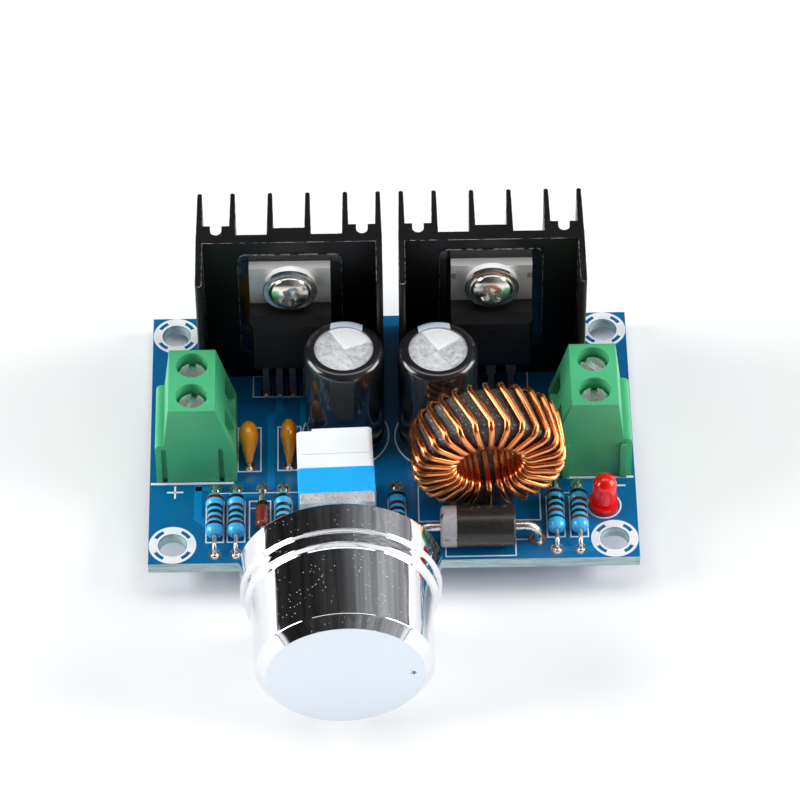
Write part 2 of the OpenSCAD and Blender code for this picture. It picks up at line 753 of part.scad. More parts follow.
// Half section of a capacitor: beaded rim, groove above the foot; inset by t
module cap_section(t) {
    r = cap_d / 2 - t;
    rim = 0.9 - t / 2;
    groove_z = 2.4;
    groove = 0.35;
    polygon(concat(
        [[0, t], [r - 0.5, t], [r, t + 0.5], [r, groove_z - 0.5], [r - groove, groove_z],
            [r, groove_z + 0.5]],
        [for (a = [0:15:90]) [r - rim + rim * cos(a), cap_h - t - rim + rim * sin(a)]],
        [[0, cap_h - t]]));
}

disc_r = 3.7;

module capacitor_can(at) {
    disc_drop = 0.35;
    score_w = 0.3;
    color("#c4c7c9")
        translate([at[0], at[1], board_t])
            difference() {
                rotate_extrude() cap_section(sleeve_t);
                translate([0, 0, cap_h - disc_drop]) cylinder(r = disc_r, h = cut);
                for (a = [45, 135])
                    rotate(a)
                        translate([-disc_r + 0.3, -score_w / 2, cap_h - disc_drop - 0.12])
                            cube([2 * disc_r - 0.6, score_w, cut]);
            }
}

module capacitor_sleeve(at) {
    foot_r = cap_d / 2 - 1;
    color("#16171a")
        translate([at[0], at[1], board_t])
            difference() {
                rotate_extrude()
                    difference() {
                        cap_section(0);
                        cap_section(sleeve_t);
                    }
                translate([0, 0, cap_h - cut]) cylinder(r = disc_r, h = 2 * cut);
                translate([0, 0, -cut]) cylinder(r = foot_r, h = 2 * cut);
            }
}

module capacitor_leads() {
    color("#c9ccce")
        for (p = cap_leads)
            translate([p[0], p[1], stub_z]) cylinder(d = p[2], h = lead_stub + board_t + sleeve_t, $fn = 24);
}

// ---- Choke ----

// Points are set out round the ring's own centre, with its axis along Y, then
// leant forward, turned and moved to the ring's place on the board
function leaned(p) = [p[0], p[1] * cos(choke_lean) - p[2] * sin(choke_lean),
    p[1] * sin(choke_lean) + p[2] * cos(choke_lean)];
function spun(p) = [p[0] * cos(choke_turn) - p[1] * sin(choke_turn),
    p[0] * sin(choke_turn) + p[1] * cos(choke_turn), p[2]];
function choke_at(p) = spun(leaned(p)) + [choke_x, choke_y, board_t + choke_z];
function ring_point(angle, r, y) = [r * cos(angle), y, r * sin(angle)];
function ring_side(angle) = [-sin(angle), 0, cos(angle)];

// Corners of the rounded rectangle that a turn follows round the core's section
function front_outer(angle) = [for (a = corner_steps)
    [ring_point(angle, wrap_out - wrap_round + wrap_round * cos(a), -wrap_y + wrap_round - wrap_round * sin(a)),
        ring_side(angle)]];
function front_inner(angle) = [for (a = corner_steps)
    [ring_point(angle, wrap_in + wrap_round - wrap_round * sin(a), -wrap_y + wrap_round - wrap_round * cos(a)),
        ring_side(angle)]];
function rear_inner(angle) = [for (a = corner_steps)
    [ring_point(angle, wrap_in + wrap_round - wrap_round * cos(a), wrap_y - wrap_round + wrap_round * sin(a)),
        ring_side(angle)]];
function rear_outer(angle) = [for (a = corner_steps)
    [ring_point(angle, wrap_out - wrap_round + wrap_round * sin(a), wrap_y - wrap_round + wrap_round * cos(a)),
        ring_side(angle)]];
// The wire crosses the rim from one turn's angle to the next in short steps
function crossing(from, to) =
    let (n = max(1, ceil(abs(to - from) / 10)), run = wrap_y - wrap_round)
    [for (i = [1:n]) let (f = i / (n + 1), a = from + (to - from) * f)
        [ring_point(a, wrap_out, run * (1 - 2 * f)), ring_side(a)]];

function turn_angle(k) = start_angle - winding_gap / 2 - (k - 1) * turn_pitch;
function choke_foot(end) = let (
    a = end == 0 ? start_angle : turn_angle(turns_made),
    p = choke_at(ring_point(a, wrap_out - wrap_round, end == 0 ? -wrap_y : wrap_y)))
    [p[0], p[1]];
// A lead runs straight down from its last point on the ring, through the board
function lead_down(p, z) = [p[0], p[1], z];

function winding_path() = let (
    first = front_inner(start_angle),
    last = rear_outer(turn_angle(turns_made)),
    start = choke_at(ring_point(start_angle, wrap_out - wrap_round, -wrap_y)),
    end = choke_at(last[0][0]),
    body = concat(
        first, rear_inner(start_angle), rear_outer(start_angle), crossing(start_angle, turn_angle(1)),
        [for (k = [1:turns_made]) each concat(
            front_outer(turn_angle(k)), front_inner(turn_angle(k)), rear_inner(turn_angle(k)),
            k < turns_made ? concat(rear_outer(turn_angle(k)), crossing(turn_angle(k), turn_angle(k + 1))) : [])]),
    side_end = spun(leaned(ring_side(turn_angle(turns_made)))))
    concat(
        [[lead_down(start, stub_z), [1, 0, 0]], [lead_down(start, board_t + 0.6), [1, 0, 0]]],
        [for (b = body) [choke_at(b[0]), spun(leaned(b[1]))]],
        [[lead_down(end, board_t + choke_z + last[0][0][2] + 0.4), side_end],
            [lead_down(end, stub_z), side_end]]);

// Sweeps a ring of points along a path of [point, side vector] pairs
module swept_wire(path, r, sides) {
    count = len(path);
    rings = [for (i = [0:count - 1]) let (
        ahead = path[min(i + 1, count - 1)][0] - path[i][0],
        behind = path[i][0] - path[max(i - 1, 0)][0],
        t1 = norm(ahead) > 0 ? ahead / norm(ahead) : behind / norm(behind),
        t0 = norm(behind) > 0 ? behind / norm(behind) : t1,
        tangent = (t0 + t1) / norm(t0 + t1),
        side = path[i][1],
        b1_raw = side - (side * tangent) * tangent,
        b1 = b1_raw / norm(b1_raw),
        b2 = cross(tangent, b1))
        [for (k = [0:sides - 1]) path[i][0] + r * (cos(k * 360 / sides) * b1 + sin(k * 360 / sides) * b2)]];
    polyhedron(
        points = [for (ring = rings) each ring],
        faces = concat(
            [[for (k = [0:sides - 1]) k]],
            [for (i = [0:count - 2], k = [0:sides - 1])
                [i * sides + k, (i + 1) * sides + k, (i + 1) * sides + (k + 1) % sides, i * sides + (k + 1) % sides]],
            [[for (k = [sides - 1:-1:0]) (count - 1) * sides + k]]));
}

module choke_core() {
    inner = core_id / 2;
    width = (core_od - core_id) / 2;
    color("#2a2c2e")
        translate([choke_x, choke_y, board_t + choke_z])
            rotate([choke_lean - 90, 0, choke_turn])
                translate([0, 0, -core_h / 2])
                    rotate_extrude($fn = 72)
                        translate([inner + core_round, core_round])
                            union() {
                                translate([-core_round, 0]) square([width, core_h - 2 * core_round]);
                                translate([0, -core_round]) square([width - 2 * core_round, core_h]);
                                for (x = [0, width - 2 * core_round], y = [0, core_h - 2 * core_round])
                                    translate([x, y]) circle(r = core_round, $fn = 24);
                            }
}

module choke_winding() {
    color("#c4703a") swept_wire(winding_path(), wire_r, 8);
}

// ---- Axial parts ----

// One lead of an axial part: a run along +X from the body, a bend and a leg
module bent_lead(run, z, d, bend) {
    translate([0, 0, z]) rotate([0, 90, 0]) cylinder(d = d, h = run - bend, $fn = 24);
    translate([run - bend, 0, z - bend])
        rotate([90, 0, 0]) rotate_extrude(angle = 90, $fn = 48) translate([bend, 0]) circle(d = d, $fn = 24);
    translate([run, 0, -board_t - lead_stub])
        cylinder(d = d, h = board_t + lead_stub + z - bend, $fn = 24);
}

// Both leads of a part whose body lies along +X with its middle at the origin
module lead_pair(body_l, pitch, z, d, bend) {
    for (s = [0, 180]) rotate(s) translate([body_l / 2, 0, 0]) bent_lead((pitch - body_l) / 2, z, d, bend);
}

resistor_z = resistor_d / 2 + 0.1;

module resistor(index) {
    end_l = 1.5;
    end_r = resistor_d / 2;
    waist_r = end_r - 0.17;
    half = resistor_l / 2;
    color("#5fb4dd")
        translate([resistor_xs[index], axial_y, board_t + resistor_z])
            rotate([90, 0, 0])
                rotate_extrude()
                    polygon([[0, -half], [end_r - 0.6, -half], [end_r - 0.2, -half + 0.2],
                        [end_r, -half + 0.6], [end_r, -half + end_l], [waist_r, -half + end_l + 0.3],
                        [waist_r, half - end_l - 0.3], [end_r, half - end_l], [end_r, half - 0.6],
                        [end_r - 0.2, half - 0.2], [end_r - 0.6, half], [0, half]]);
}

module resistor_leads() {
    color("#c9ccce")
        for (x = resistor_xs)
            translate([x, axial_y, board_t])
                rotate(90) lead_pair(resistor_l, axial_pitch, resistor_z, axial_lead_d, 0.8);
}

module glass_diode_body() {
    r = glass_d / 2;
    half = glass_l / 2;
    color("#8a2f1c")
        translate([glass_x, axial_y, board_t + resistor_z])
            rotate([90, 0, 0])
                rotate_extrude()
                    polygon(concat([[0, -half]],
                        [for (a = [-90:15:0]) [r - 0.5 + 0.5 * cos(a), -half + 0.5 + 0.5 * sin(a)]],
                        [for (a = [0:15:90]) [r - 0.5 + 0.5 * cos(a), half - 0.5 + 0.5 * sin(a)]],
                        [[0, half]]));
}

module glass_diode_leads() {
    color("#c9ccce")
        translate([glass_x, axial_y, board_t])
            rotate(90) lead_pair(glass_l, axial_pitch, resistor_z, axial_lead_d, 0.8);
}

diode_z = diode_d / 2 + 0.1;

module power_diode_body() {
    r = diode_d / 2;
    half = diode_l / 2;
    color("#2b2c2e")
        translate([diode_x, diode_y, board_t + diode_z])
            rotate([0, 90, 0])
                rotate_extrude()
                    polygon([[0, -half], [r - 0.25, -half], [r, -half + 0.25], [r, half - 0.25],
                        [r - 0.25, half], [0, half]]);
}

module power_diode_leads() {
    color("#c3c5c6")
        translate([diode_x, diode_y, board_t])
            lead_pair(diode_l, diode_pitch, diode_z, diode_lead_d, 1.6);
}

// ---- Dipped capacitors ----

module dipped_capacitor(index) {
    c = dipped[index];
    color("#e08a1e")
        translate([c[0], dipped_y, board_t])
            hull() {
                translate([0, 0, c[2]]) scale([c[1] / 2, dipped_half_w, c[3]]) sphere(r = 1, $fn = 20);
                for (s = [-1, 1])
                    translate([0, s * dipped_pitch / 2, dipped_foot]) cylinder(d = 0.8, h = 0.5, $fn = 16);
            }
}

module dipped_capacitor_leads() {
    color("#c9ccce")
        for (p = dipped_leads)
            translate([p[0], p[1], stub_z])
                cylinder(d = p[2], h = lead_stub + board_t + dipped_foot, $fn = 24);
}

// ---- Indicator lamp ----

module lamp_lens() {
    r = led_d / 2;
    flange_t = 0.9;
    color("#d8231c")
        translate([led_x, led_y, board_t + led_lift])
            difference() {
                rotate_extrude()
                    polygon(concat([[0, 0], [led_flange_d / 2, 0], [led_flange_d / 2, flange_t], [r, flange_t]],
                        [for (a = [0:10:90]) [r * cos(a), led_h - r + r * sin(a)]]));
                translate([r + 0.15, -led_d, -cut]) cube([cut, 2 * led_d, flange_t + cut]);
            }
}

module lamp_leads() {
    color("#c9ccce")
        for (p = led_leads_at)
            translate([p[0] - led_lead_w / 2, p[1] - led_lead_w / 2, stub_z])
                cube([led_lead_w, led_lead_w, lead_stub + board_t + led_lift]);
}

// ---- Voltage control ----

// The control's frame: x across, y from the plate's front face to the rear
module in_control() {
    translate([control_x, control_y, board_t]) rotate([control_lean, 0, control_turn]) children();
}

// A block of the control's body with rounded top corners, from y0 to y0 + depth
module control_block(w, y0, depth, h, corner) {
    translate([0, y0 + depth, 0])
        rotate([90, 0, 0])
            linear_extrude(depth)
                union() {
                    translate([-w / 2, 0]) square([w, h - corner]);
                    translate([-w / 2 + corner, 0]) square([w - 2 * corner, h]);
                    for (s = [-1, 1]) translate([s * (w / 2 - corner), h - corner]) circle(r = corner, $fn = 32);
                }
}

module along_shaft(y) {
    translate([0, y, shaft_z]) rotate([90, 0, 0]) children();
}

// Solder tab in one piece with the plate
module control_foot(x) {
    translate([x - pin_w / 2, foot_y - pin_t / 2, -board_t - lead_stub])
        cube([pin_w, pin_t, board_t + lead_stub + eps]);
}

module control_feet() {
    in_control() for (s = [-1, 1]) control_foot(s * foot_x);
}

module control_plate() {
    color("#a9adb0")
        in_control()
            difference() {
                union() {
                    control_block(control_w - 0.3, 0, plate_t, control_h, 0.4);
                    along_shaft(eps)
                        rotate_extrude()
                            polygon([[0, 0], [bush_thread_d / 2, 0], [bush_thread_d / 2, bush_l - 0.4],
                                [bush_thread_d / 2 - 0.4, bush_l], [0, bush_l]]);
                    for (s = [-1, 1]) control_foot(s * foot_x);
                }
                along_shaft(plate_t + cut) cylinder(d = shaft_d + 2 * fit, h = plate_t + bush_l + 2 * cut);
            }
}

module control_wafer() {
    color("#1f9ee8")
        in_control()
            difference() {
                control_block(control_w, plate_t, wafer_d, control_h, 0.5);
                along_shaft(plate_t + wafer_d - 0.8) cylinder(d = spigot_d + 2 * fit, h = wafer_d);
            }
}

module control_switch_front() {
    color("#f0f1f0")
        in_control() control_block(control_w - 0.15, plate_t + wafer_d, switch_front_d, control_h - 0.05, 0.5);
}

// The rear half has a shallow step at the left of its top edge
module control_switch_rear() {
    y0 = plate_t + wafer_d + switch_front_d;
    color("#f4f5f4")
        in_control()
            difference() {
                control_block(control_w - 0.15, y0, switch_rear_d, control_h + 0.05, 0.6);
                translate([-control_w, y0 + switch_rear_d - 0.35, control_h - 2])
                    cube([control_w / 2 + 2, cut, 2 + cut]);
            }
}

module control_pins() {
    color("#c9ccce")
        in_control() {
            for (i = [-1:1])
                translate([i * wafer_pin_pitch - pin_w / 2, wafer_pin_y - pin_t / 2, -board_t - lead_stub - 0.3])
                    cube([pin_w, pin_t, board_t + lead_stub + 0.3]);
            for (s = [-1, 1])
                translate([s * switch_pin_x - pin_w / 2, switch_pin_y - pin_t / 2, -board_t - lead_stub - 0.5])
                    cube([pin_w, pin_t, board_t + lead_stub + 0.5]);
        }
}

module control_shaft() {
    color("#b9bdc0")
        in_control()
            union() {
                along_shaft(plate_t - fit)
                    rotate_extrude()
                        polygon([[0, 0], [shaft_d / 2, 0], [shaft_d / 2, shaft_l + plate_t - 0.5],
                            [shaft_d / 2 - 0.5, shaft_l + plate_t], [0, shaft_l + plate_t]]);
                along_shaft(plate_t + wafer_d - 1) cylinder(d = spigot_d, h = wafer_d);
            }
}

// ---- Knob ----

module knob() {
    rear_r = flange_d / 2;
    front_r = grip_d / 2;
    flange_taper = 0.03;
    step_z = flange_l + step_l;
    step_r = rear_r - flange_taper * flange_l - step_h;
    recess_z = 5;
    recess_r = front_r - 0.6;
    boss_r = shaft_d / 2 + 2.4;
    bore_z = shaft_l + fit - knob_gap;
    edge = 0.3;
    dot_r = front_r - knob_bevel - 1.4;
    color("#d9dbdd")
        in_control()
            along_shaft(-knob_gap)
                difference() {
                    rotate_extrude($fn = 96)
                        polygon([[shaft_d / 2 + 0.01, 0.4], [boss_r, 0.4], [boss_r, recess_z], [recess_r, recess_z],
                            [recess_r, 0], [rear_r - edge, 0], [rear_r, edge],
                            [rear_r - flange_taper * flange_l, flange_l - 0.2],
                            [rear_r - flange_taper * flange_l - 0.2, flange_l],
                            [step_r + 0.1, step_z - 0.1], [step_r, step_z + 0.1],
                            [front_r + 0.02, knob_l - knob_bevel - 0.1], [front_r - 0.15, knob_l - knob_bevel + 0.1],
                            [front_r - knob_bevel, knob_l], [0, knob_l], [0, bore_z], [shaft_d / 2 + 0.01, bore_z]]);
                    translate([dot_r, 0, knob_l - 0.25]) cylinder(d = 0.6, h = cut, $fn = 24);
                }
}

board();
solder_joints();
heatsink(sink_x_left);  // heatsink_left
heatsink(sink_x_right);  // heatsink_right
heatsink_pins();
regulator_tab();
regulator_body();
regulator_leads();
rectifier_tab();
rectifier_body();
rectifier_leads();
insulator(sink_x_left, sheet_rise[0]);  // insulator_left
insulator(sink_x_right, sheet_rise[1]);  // insulator_right
insulating_bushes();
tab_washers();
tab_screws();
terminal_housing(false);  // terminal_left_housing
terminal_contacts(false);  // terminal_left_contacts
clamp_screw(false, 1);  // terminal_left_screw_rear
clamp_screw(false, -1);  // terminal_left_screw_front
clamp_cage(false, 1);  // terminal_left_clamp_rear
clamp_cage(false, -1);  // terminal_left_clamp_front
terminal_housing(true);  // terminal_right_housing
terminal_contacts(true);  // terminal_right_contacts
clamp_screw(true, 1);  // terminal_right_screw_rear
clamp_screw(true, -1);  // terminal_right_screw_front
clamp_cage(true, 1);  // terminal_right_clamp_rear
clamp_cage(true, -1);  // terminal_right_clamp_front
capacitor_can(cap_left);  // capacitor_left_can
capacitor_sleeve(cap_left);  // capacitor_left_sleeve
capacitor_can(cap_right);  // capacitor_right_can
capacitor_sleeve(cap_right);  // capacitor_right_sleeve
capacitor_leads();
choke_core();
choke_winding();
power_diode_body();
power_diode_leads();
glass_diode_body();
glass_diode_leads();
resistor(0);  // resistor_1
resistor(1);  // resistor_2
resistor(2);  // resistor_3
resistor(3);  // resistor_4
resistor(4);  // resistor_5
resistor(5);  // resistor_6
resistor_leads();
dipped_capacitor(0);  // dipped_capacitor_left
dipped_capacitor(1);  // dipped_capacitor_right
dipped_capacitor_leads();
lamp_lens();
lamp_leads();
control_plate();
control_wafer();
control_switch_front();
control_switch_rear();
control_pins();
control_shaft();
knob();
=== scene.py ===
# %% [markdown]
# # A step-down converter module, looked at as a maker would look at it
# The module is a small blue board with two finned heatsinks at its back, a screw terminal block at
# each end, two tall capacitors, a wound ring, a row of small parts and a big chromed knob in front.
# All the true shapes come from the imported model. This notebook gives them their finish, and adds
# the thin things that a drawing of solids leaves out: print, copper tracks, pads and screw recesses.
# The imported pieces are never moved, so everything made here is placed in the same frame.
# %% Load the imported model
import json
import math
import bpy
from mathutils import Matrix, Vector

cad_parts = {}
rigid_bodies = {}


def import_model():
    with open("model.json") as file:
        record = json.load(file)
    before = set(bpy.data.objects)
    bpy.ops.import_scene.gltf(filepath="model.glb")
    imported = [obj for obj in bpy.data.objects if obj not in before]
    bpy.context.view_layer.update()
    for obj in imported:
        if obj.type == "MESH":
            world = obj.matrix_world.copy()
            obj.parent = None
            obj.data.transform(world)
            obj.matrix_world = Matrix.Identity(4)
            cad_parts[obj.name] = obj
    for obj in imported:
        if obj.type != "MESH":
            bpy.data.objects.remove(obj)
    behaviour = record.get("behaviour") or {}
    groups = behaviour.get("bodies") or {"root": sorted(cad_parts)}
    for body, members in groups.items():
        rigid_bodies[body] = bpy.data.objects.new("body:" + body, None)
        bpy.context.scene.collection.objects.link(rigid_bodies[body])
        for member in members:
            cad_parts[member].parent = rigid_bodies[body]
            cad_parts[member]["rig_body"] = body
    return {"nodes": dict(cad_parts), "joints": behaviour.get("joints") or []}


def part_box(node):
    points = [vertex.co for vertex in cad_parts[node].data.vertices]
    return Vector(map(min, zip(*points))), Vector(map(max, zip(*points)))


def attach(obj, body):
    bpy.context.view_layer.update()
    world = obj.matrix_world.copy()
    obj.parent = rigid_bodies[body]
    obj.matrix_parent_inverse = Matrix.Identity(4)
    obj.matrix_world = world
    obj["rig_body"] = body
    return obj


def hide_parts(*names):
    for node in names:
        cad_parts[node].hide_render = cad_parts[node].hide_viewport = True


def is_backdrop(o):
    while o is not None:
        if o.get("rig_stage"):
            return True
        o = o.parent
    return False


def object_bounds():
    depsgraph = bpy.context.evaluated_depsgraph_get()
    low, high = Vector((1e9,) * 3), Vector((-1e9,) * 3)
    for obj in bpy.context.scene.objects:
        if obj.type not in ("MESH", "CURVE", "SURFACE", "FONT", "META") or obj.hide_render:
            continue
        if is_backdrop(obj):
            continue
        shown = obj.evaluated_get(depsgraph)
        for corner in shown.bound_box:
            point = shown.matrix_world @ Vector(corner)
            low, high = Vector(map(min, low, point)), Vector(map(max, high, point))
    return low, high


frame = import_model()
NODES = frame["nodes"]
MM = 0.001


def write_size():
    low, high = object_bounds()
    return [round((b - a) * 1000, 2) for a, b in zip(low, high)]


print("size in mm:", write_size())

# %% [markdown]
# ## Camera
# The module is seen from the front and well above, so that the knob's face, the board and the
# heatsinks all show. A long lens keeps the board's edges almost parallel, as in a product picture.
# The camera's place could be set with a tracking target; plain numbers are used here because they
# can't drift when something else is edited.
# %% Camera
camera_data = bpy.data.cameras.new("camera")
camera = bpy.data.objects.new("camera", camera_data)
bpy.context.scene.collection.objects.link(camera)
camera.location = (-2.8476 * MM, -394.073 * MM, (456.081 + 1.6) * MM)
camera.rotation_euler = (0.72001, 0.00555, -0.016346)
camera_data.sensor_width = 36
camera_data.lens = 4756.37 * 36 / 800
bpy.context.scene.camera = camera
bpy.context.scene.view_settings.view_transform = "Standard"
print("lens", round(camera_data.lens, 1), "mm")

# %% [markdown]
# ## How the module stands
# The knob is larger than the board is high, so the module rests on the knob's rim and on the
# soldered ends at its back, and leans a little. The floor is therefore tilted in the board's own
# frame. The angle could be guessed, but it is found here: the floor is turned in small steps until
# the lowest point behind and the lowest point of the knob are level.
# %% Find the slope of the floor
def lowest(points, slope):
    return min(z * math.cos(slope) - y * math.sin(slope) for y, z in points)


front_points = [(v.co.y, v.co.z) for v in NODES["knob"].data.vertices]
rear_points = [
    (v.co.y, v.co.z)
    for name, node in NODES.items()
    if name != "knob"
    for v in node.data.vertices
    if v.co.z < 0.0 and v.co.y > 0.0
]
flat, steep = 0.0, 0.3
for _ in range(40):
    slope = (flat + steep) / 2
    if lowest(front_points, slope) < lowest(rear_points, slope):
        flat = slope
    else:
        steep = slope
floor_drop = lowest(rear_points, slope)
print("floor slope", round(math.degrees(slope), 2), "degrees, drop", round(floor_drop * 1000, 2), "mm")

# %% [markdown]
# ## Floor and light
# The background is a plain pale sheet. A modelled studio could hold real lamps and cards; big
# square area lights give the same soft look with far less to set up. The chrome shows whatever
# surrounds it, so bright lights stand to its left, to its right and above it. Two sheets, one
# high above and one in front, fill the shadows, and are hidden from the mirrors so that they don't
# wash the chrome out.
# %% Small helpers for making and shading
def deselect():
    if bpy.context.object and bpy.context.object.mode != "OBJECT":
        bpy.ops.object.mode_set(mode="OBJECT")
    bpy.ops.object.select_all(action="DESELECT")


def node_of(tree, kind, **inputs):
    made = tree.nodes.new(kind)
    for key, value in inputs.items():
        setattr(made, key, value)
    return made


deselect()
bpy.context.tool_settings.mesh_select_mode = (False, False, True)


# %% Floor sheet
def floor_material():
    m = bpy.data.materials.new("floor_sheet")
    m.use_nodes = True
    tree = m.node_tree
    shader = tree.nodes["Principled BSDF"]
    shader.inputs["Roughness"].default_value = 0.9
    shader.inputs["Specular IOR Level"].default_value = 0.1
    coords = node_of(tree, "ShaderNodeTexCoord")
    noise = node_of(tree, "ShaderNodeTexNoise")
    noise.inputs["Scale"].default_value = 6
    tone = node_of(tree, "ShaderNodeValToRGB")
    tone.color_ramp.elements[0].color = (0.91, 0.92, 0.93, 1)
    tone.color_ramp.elements[1].color = (0.94, 0.945, 0.95, 1)
    tree.links.new(coords.outputs["Object"], noise.inputs["Vector"])
    tree.links.new(noise.outputs["Fac"], tone.inputs["Fac"])
    tree.links.new(tone.outputs["Color"], shader.inputs["Base Color"])
    return m


bpy.ops.mesh.primitive_plane_add(size=6, location=(0, 0, 0))
floor = bpy.context.object
floor.name = "floor_sheet"
floor.data.materials.append(floor_material())
floor.rotation_euler = (slope, 0, 0)
floor.location = Vector((0, -math.sin(slope), math.cos(slope))) * floor_drop
floor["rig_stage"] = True
deselect()


# %% Lights and surroundings
def area_light(name, place, aim, width, height, power, colour=(1, 1, 1)):
    data = bpy.data.lights.new(name, "AREA")
    data.shape = "RECTANGLE"
    data.size, data.size_y, data.energy, data.color = width, height, power, colour
    light = bpy.data.objects.new(name, data)
    bpy.context.scene.collection.objects.link(light)
    light.location = place
    light.rotation_euler = (Vector(aim) - Vector(place)).to_track_quat("-Z", "Y").to_euler()
    return light


area_light("left_wall", (-0.62, -0.03, 0.27), (0, 0, 0.02), 0.46, 0.42, 5.0)
area_light("right_wall", (0.64, -0.04, 0.27), (0, 0, 0.02), 0.46, 0.42, 4.7)
area_light("overhead", (0.0, 0.12, 0.90), (0, 0, 0), 1.35, 0.36, 3.4)
wide_sheet = area_light("wide_sheet", (0.0, 0.0, 1.7), (0, 0, 0), 2.4, 2.4, 4.2)
front_sheet = area_light("front_sheet", (0.05, -0.85, 0.42), (0, 0, 0.02), 0.9, 0.4, 0.35)
for light in (wide_sheet, front_sheet):
    light.visible_glossy = False


# %% [markdown]
# The rest of the surroundings is a sky that mainly the mirrors see: white at the ground, and dark
# above it, where the room is. The dark room is what gives the chrome its black middle, and a little
# more light on the right than on the left keeps the two sides of the knob apart. A picture of a
# studio could be used instead, but two ramps on the direction of the view need no file.
# %% Sky ramps
world = bpy.data.worlds.new("surroundings")
bpy.context.scene.world = world
world.use_nodes = True
sky = world.node_tree
backdrop = sky.nodes["Background"]
direction = node_of(sky, "ShaderNodeTexCoord")
split = node_of(sky, "ShaderNodeSeparateXYZ")
sky.links.new(direction.outputs["Generated"], split.inputs[0])


def sky_ramp(axis, low, high, stops):
    reach = node_of(sky, "ShaderNodeMapRange")
    reach.inputs["From Min"].default_value = low
    reach.inputs["From Max"].default_value = high
    ramp = node_of(sky, "ShaderNodeValToRGB")
    for element, (place, grey) in zip(ramp.color_ramp.elements, stops):
        element.position, element.color = place, (grey, grey * 1.01, grey * 1.03, 1)
    for place, grey in stops[2:]:
        ramp.color_ramp.elements.new(place).color = (grey, grey * 1.01, grey * 1.03, 1)
    sky.links.new(split.outputs[axis], reach.inputs["Value"])
    sky.links.new(reach.outputs["Result"], ramp.inputs["Fac"])
    return ramp.outputs["Color"]


room = sky_ramp("X", -0.8, 0.8, [(0.10, 0.015), (0.50, 0.055), (0.90, 0.30)])
ground = sky_ramp("Z", -0.1, 0.1, [(0.50, 1.0), (0.75, 0.0)])
cloud = node_of(sky, "ShaderNodeTexNoise")
cloud.inputs["Scale"].default_value = 9
cloud.inputs["Detail"].default_value = 5
sky.links.new(direction.outputs["Generated"], cloud.inputs["Vector"])
uneven = node_of(sky, "ShaderNodeMapRange")
uneven.inputs["From Min"].default_value = 0.35
uneven.inputs["From Max"].default_value = 0.65
uneven.inputs["To Min"].default_value = 0.6
uneven.inputs["To Max"].default_value = 1.5
sky.links.new(cloud.outputs["Fac"], uneven.inputs["Value"])
dim = node_of(sky, "ShaderNodeVectorMath", operation="SCALE")
sky.links.new(room, dim.inputs[0])
sky.links.new(uneven.outputs["Result"], dim.inputs["Scale"])
both = node_of(sky, "ShaderNodeMix", data_type="RGBA")
sky.links.new(ground, both.inputs[0])
sky.links.new(dim.outputs[0], both.inputs[6])
both.inputs[7].default_value = (0.93, 0.95, 0.98, 1)
sky.links.new(both.outputs[2], backdrop.inputs["Color"])
backdrop.inputs["Strength"].default_value = 1.0

# %% [markdown]
# ## How a finish is made
# No real surface has one flat colour. Each finish here starts from one shader and gets two noises
# on object coordinates: a slow one moves the colour a little, and a finer one moves the roughness
# and lifts the surface by a few hundredths of a millimetre. Where metal or paint is handled, the
# edges wear, and a bevel node finds them by comparing a softened normal with the true one.
# Painted image maps would do the same job, but they need unwrapped pieces; noise needs none.
# %% A finish with varied colour, gloss and surface
def finish(name, colour, rough=(0.35, 0.5), metal=0.0, tone=0.1, grain=900.0, bump=0.15, depth=0.02,
           coat=0.0, wear=None, wear_width=0.12, wear_amount=0.8, ior=1.5, stretch=(1, 1, 1)):
    m = bpy.data.materials.new(name)
    m.use_nodes = True
    tree = m.node_tree
    shader = tree.nodes["Principled BSDF"]
    shader.inputs["Metallic"].default_value = metal
    shader.inputs["IOR"].default_value = ior
    shader.inputs["Coat Weight"].default_value = coat
    shader.inputs["Coat Roughness"].default_value = 0.08
    coords = node_of(tree, "ShaderNodeTexCoord")
    place = node_of(tree, "ShaderNodeMapping", name="place")
    place.inputs["Scale"].default_value = stretch
    tree.links.new(coords.outputs["Object"], place.inputs["Vector"])
    slow = node_of(tree, "ShaderNodeTexNoise", name="slow")
    slow.inputs["Scale"].default_value = grain * 0.35
    slow.inputs["Detail"].default_value = 4
    fine = node_of(tree, "ShaderNodeTexNoise", name="fine")
    fine.inputs["Scale"].default_value = grain * 3.0
    fine.inputs["Detail"].default_value = 3
    tree.links.new(place.outputs["Vector"], slow.inputs["Vector"])
    tree.links.new(place.outputs["Vector"], fine.inputs["Vector"])
    paint = node_of(tree, "ShaderNodeValToRGB", name="paint")
    paint.color_ramp.elements[0].position = 0.3
    paint.color_ramp.elements[1].position = 0.7
    paint.color_ramp.elements[0].color = (*[c * (1 - tone) for c in colour], 1)
    paint.color_ramp.elements[1].color = (*[min(1.0, c * (1 + tone)) for c in colour], 1)
    tree.links.new(slow.outputs["Fac"], paint.inputs["Fac"])
    gloss = node_of(tree, "ShaderNodeMapRange", name="gloss")
    gloss.inputs["From Min"].default_value = 0.3
    gloss.inputs["From Max"].default_value = 0.7
    gloss.inputs["To Min"].default_value = rough[0]
    gloss.inputs["To Max"].default_value = rough[1]
    tree.links.new(fine.outputs["Fac"], gloss.inputs["Value"])
    lift = node_of(tree, "ShaderNodeBump", name="lift")
    lift.inputs["Strength"].default_value = bump
    lift.inputs["Distance"].default_value = depth * MM
    tree.links.new(fine.outputs["Fac"], lift.inputs["Height"])
    tree.links.new(lift.outputs["Normal"], shader.inputs["Normal"])
    tree.links.new(gloss.outputs["Result"], shader.inputs["Roughness"])
    tree.links.new(paint.outputs["Color"], shader.inputs["Base Color"])
    if wear:
        blend_in(m, edge_mask(tree, wear_width, wear_amount, place), wear)
    return m


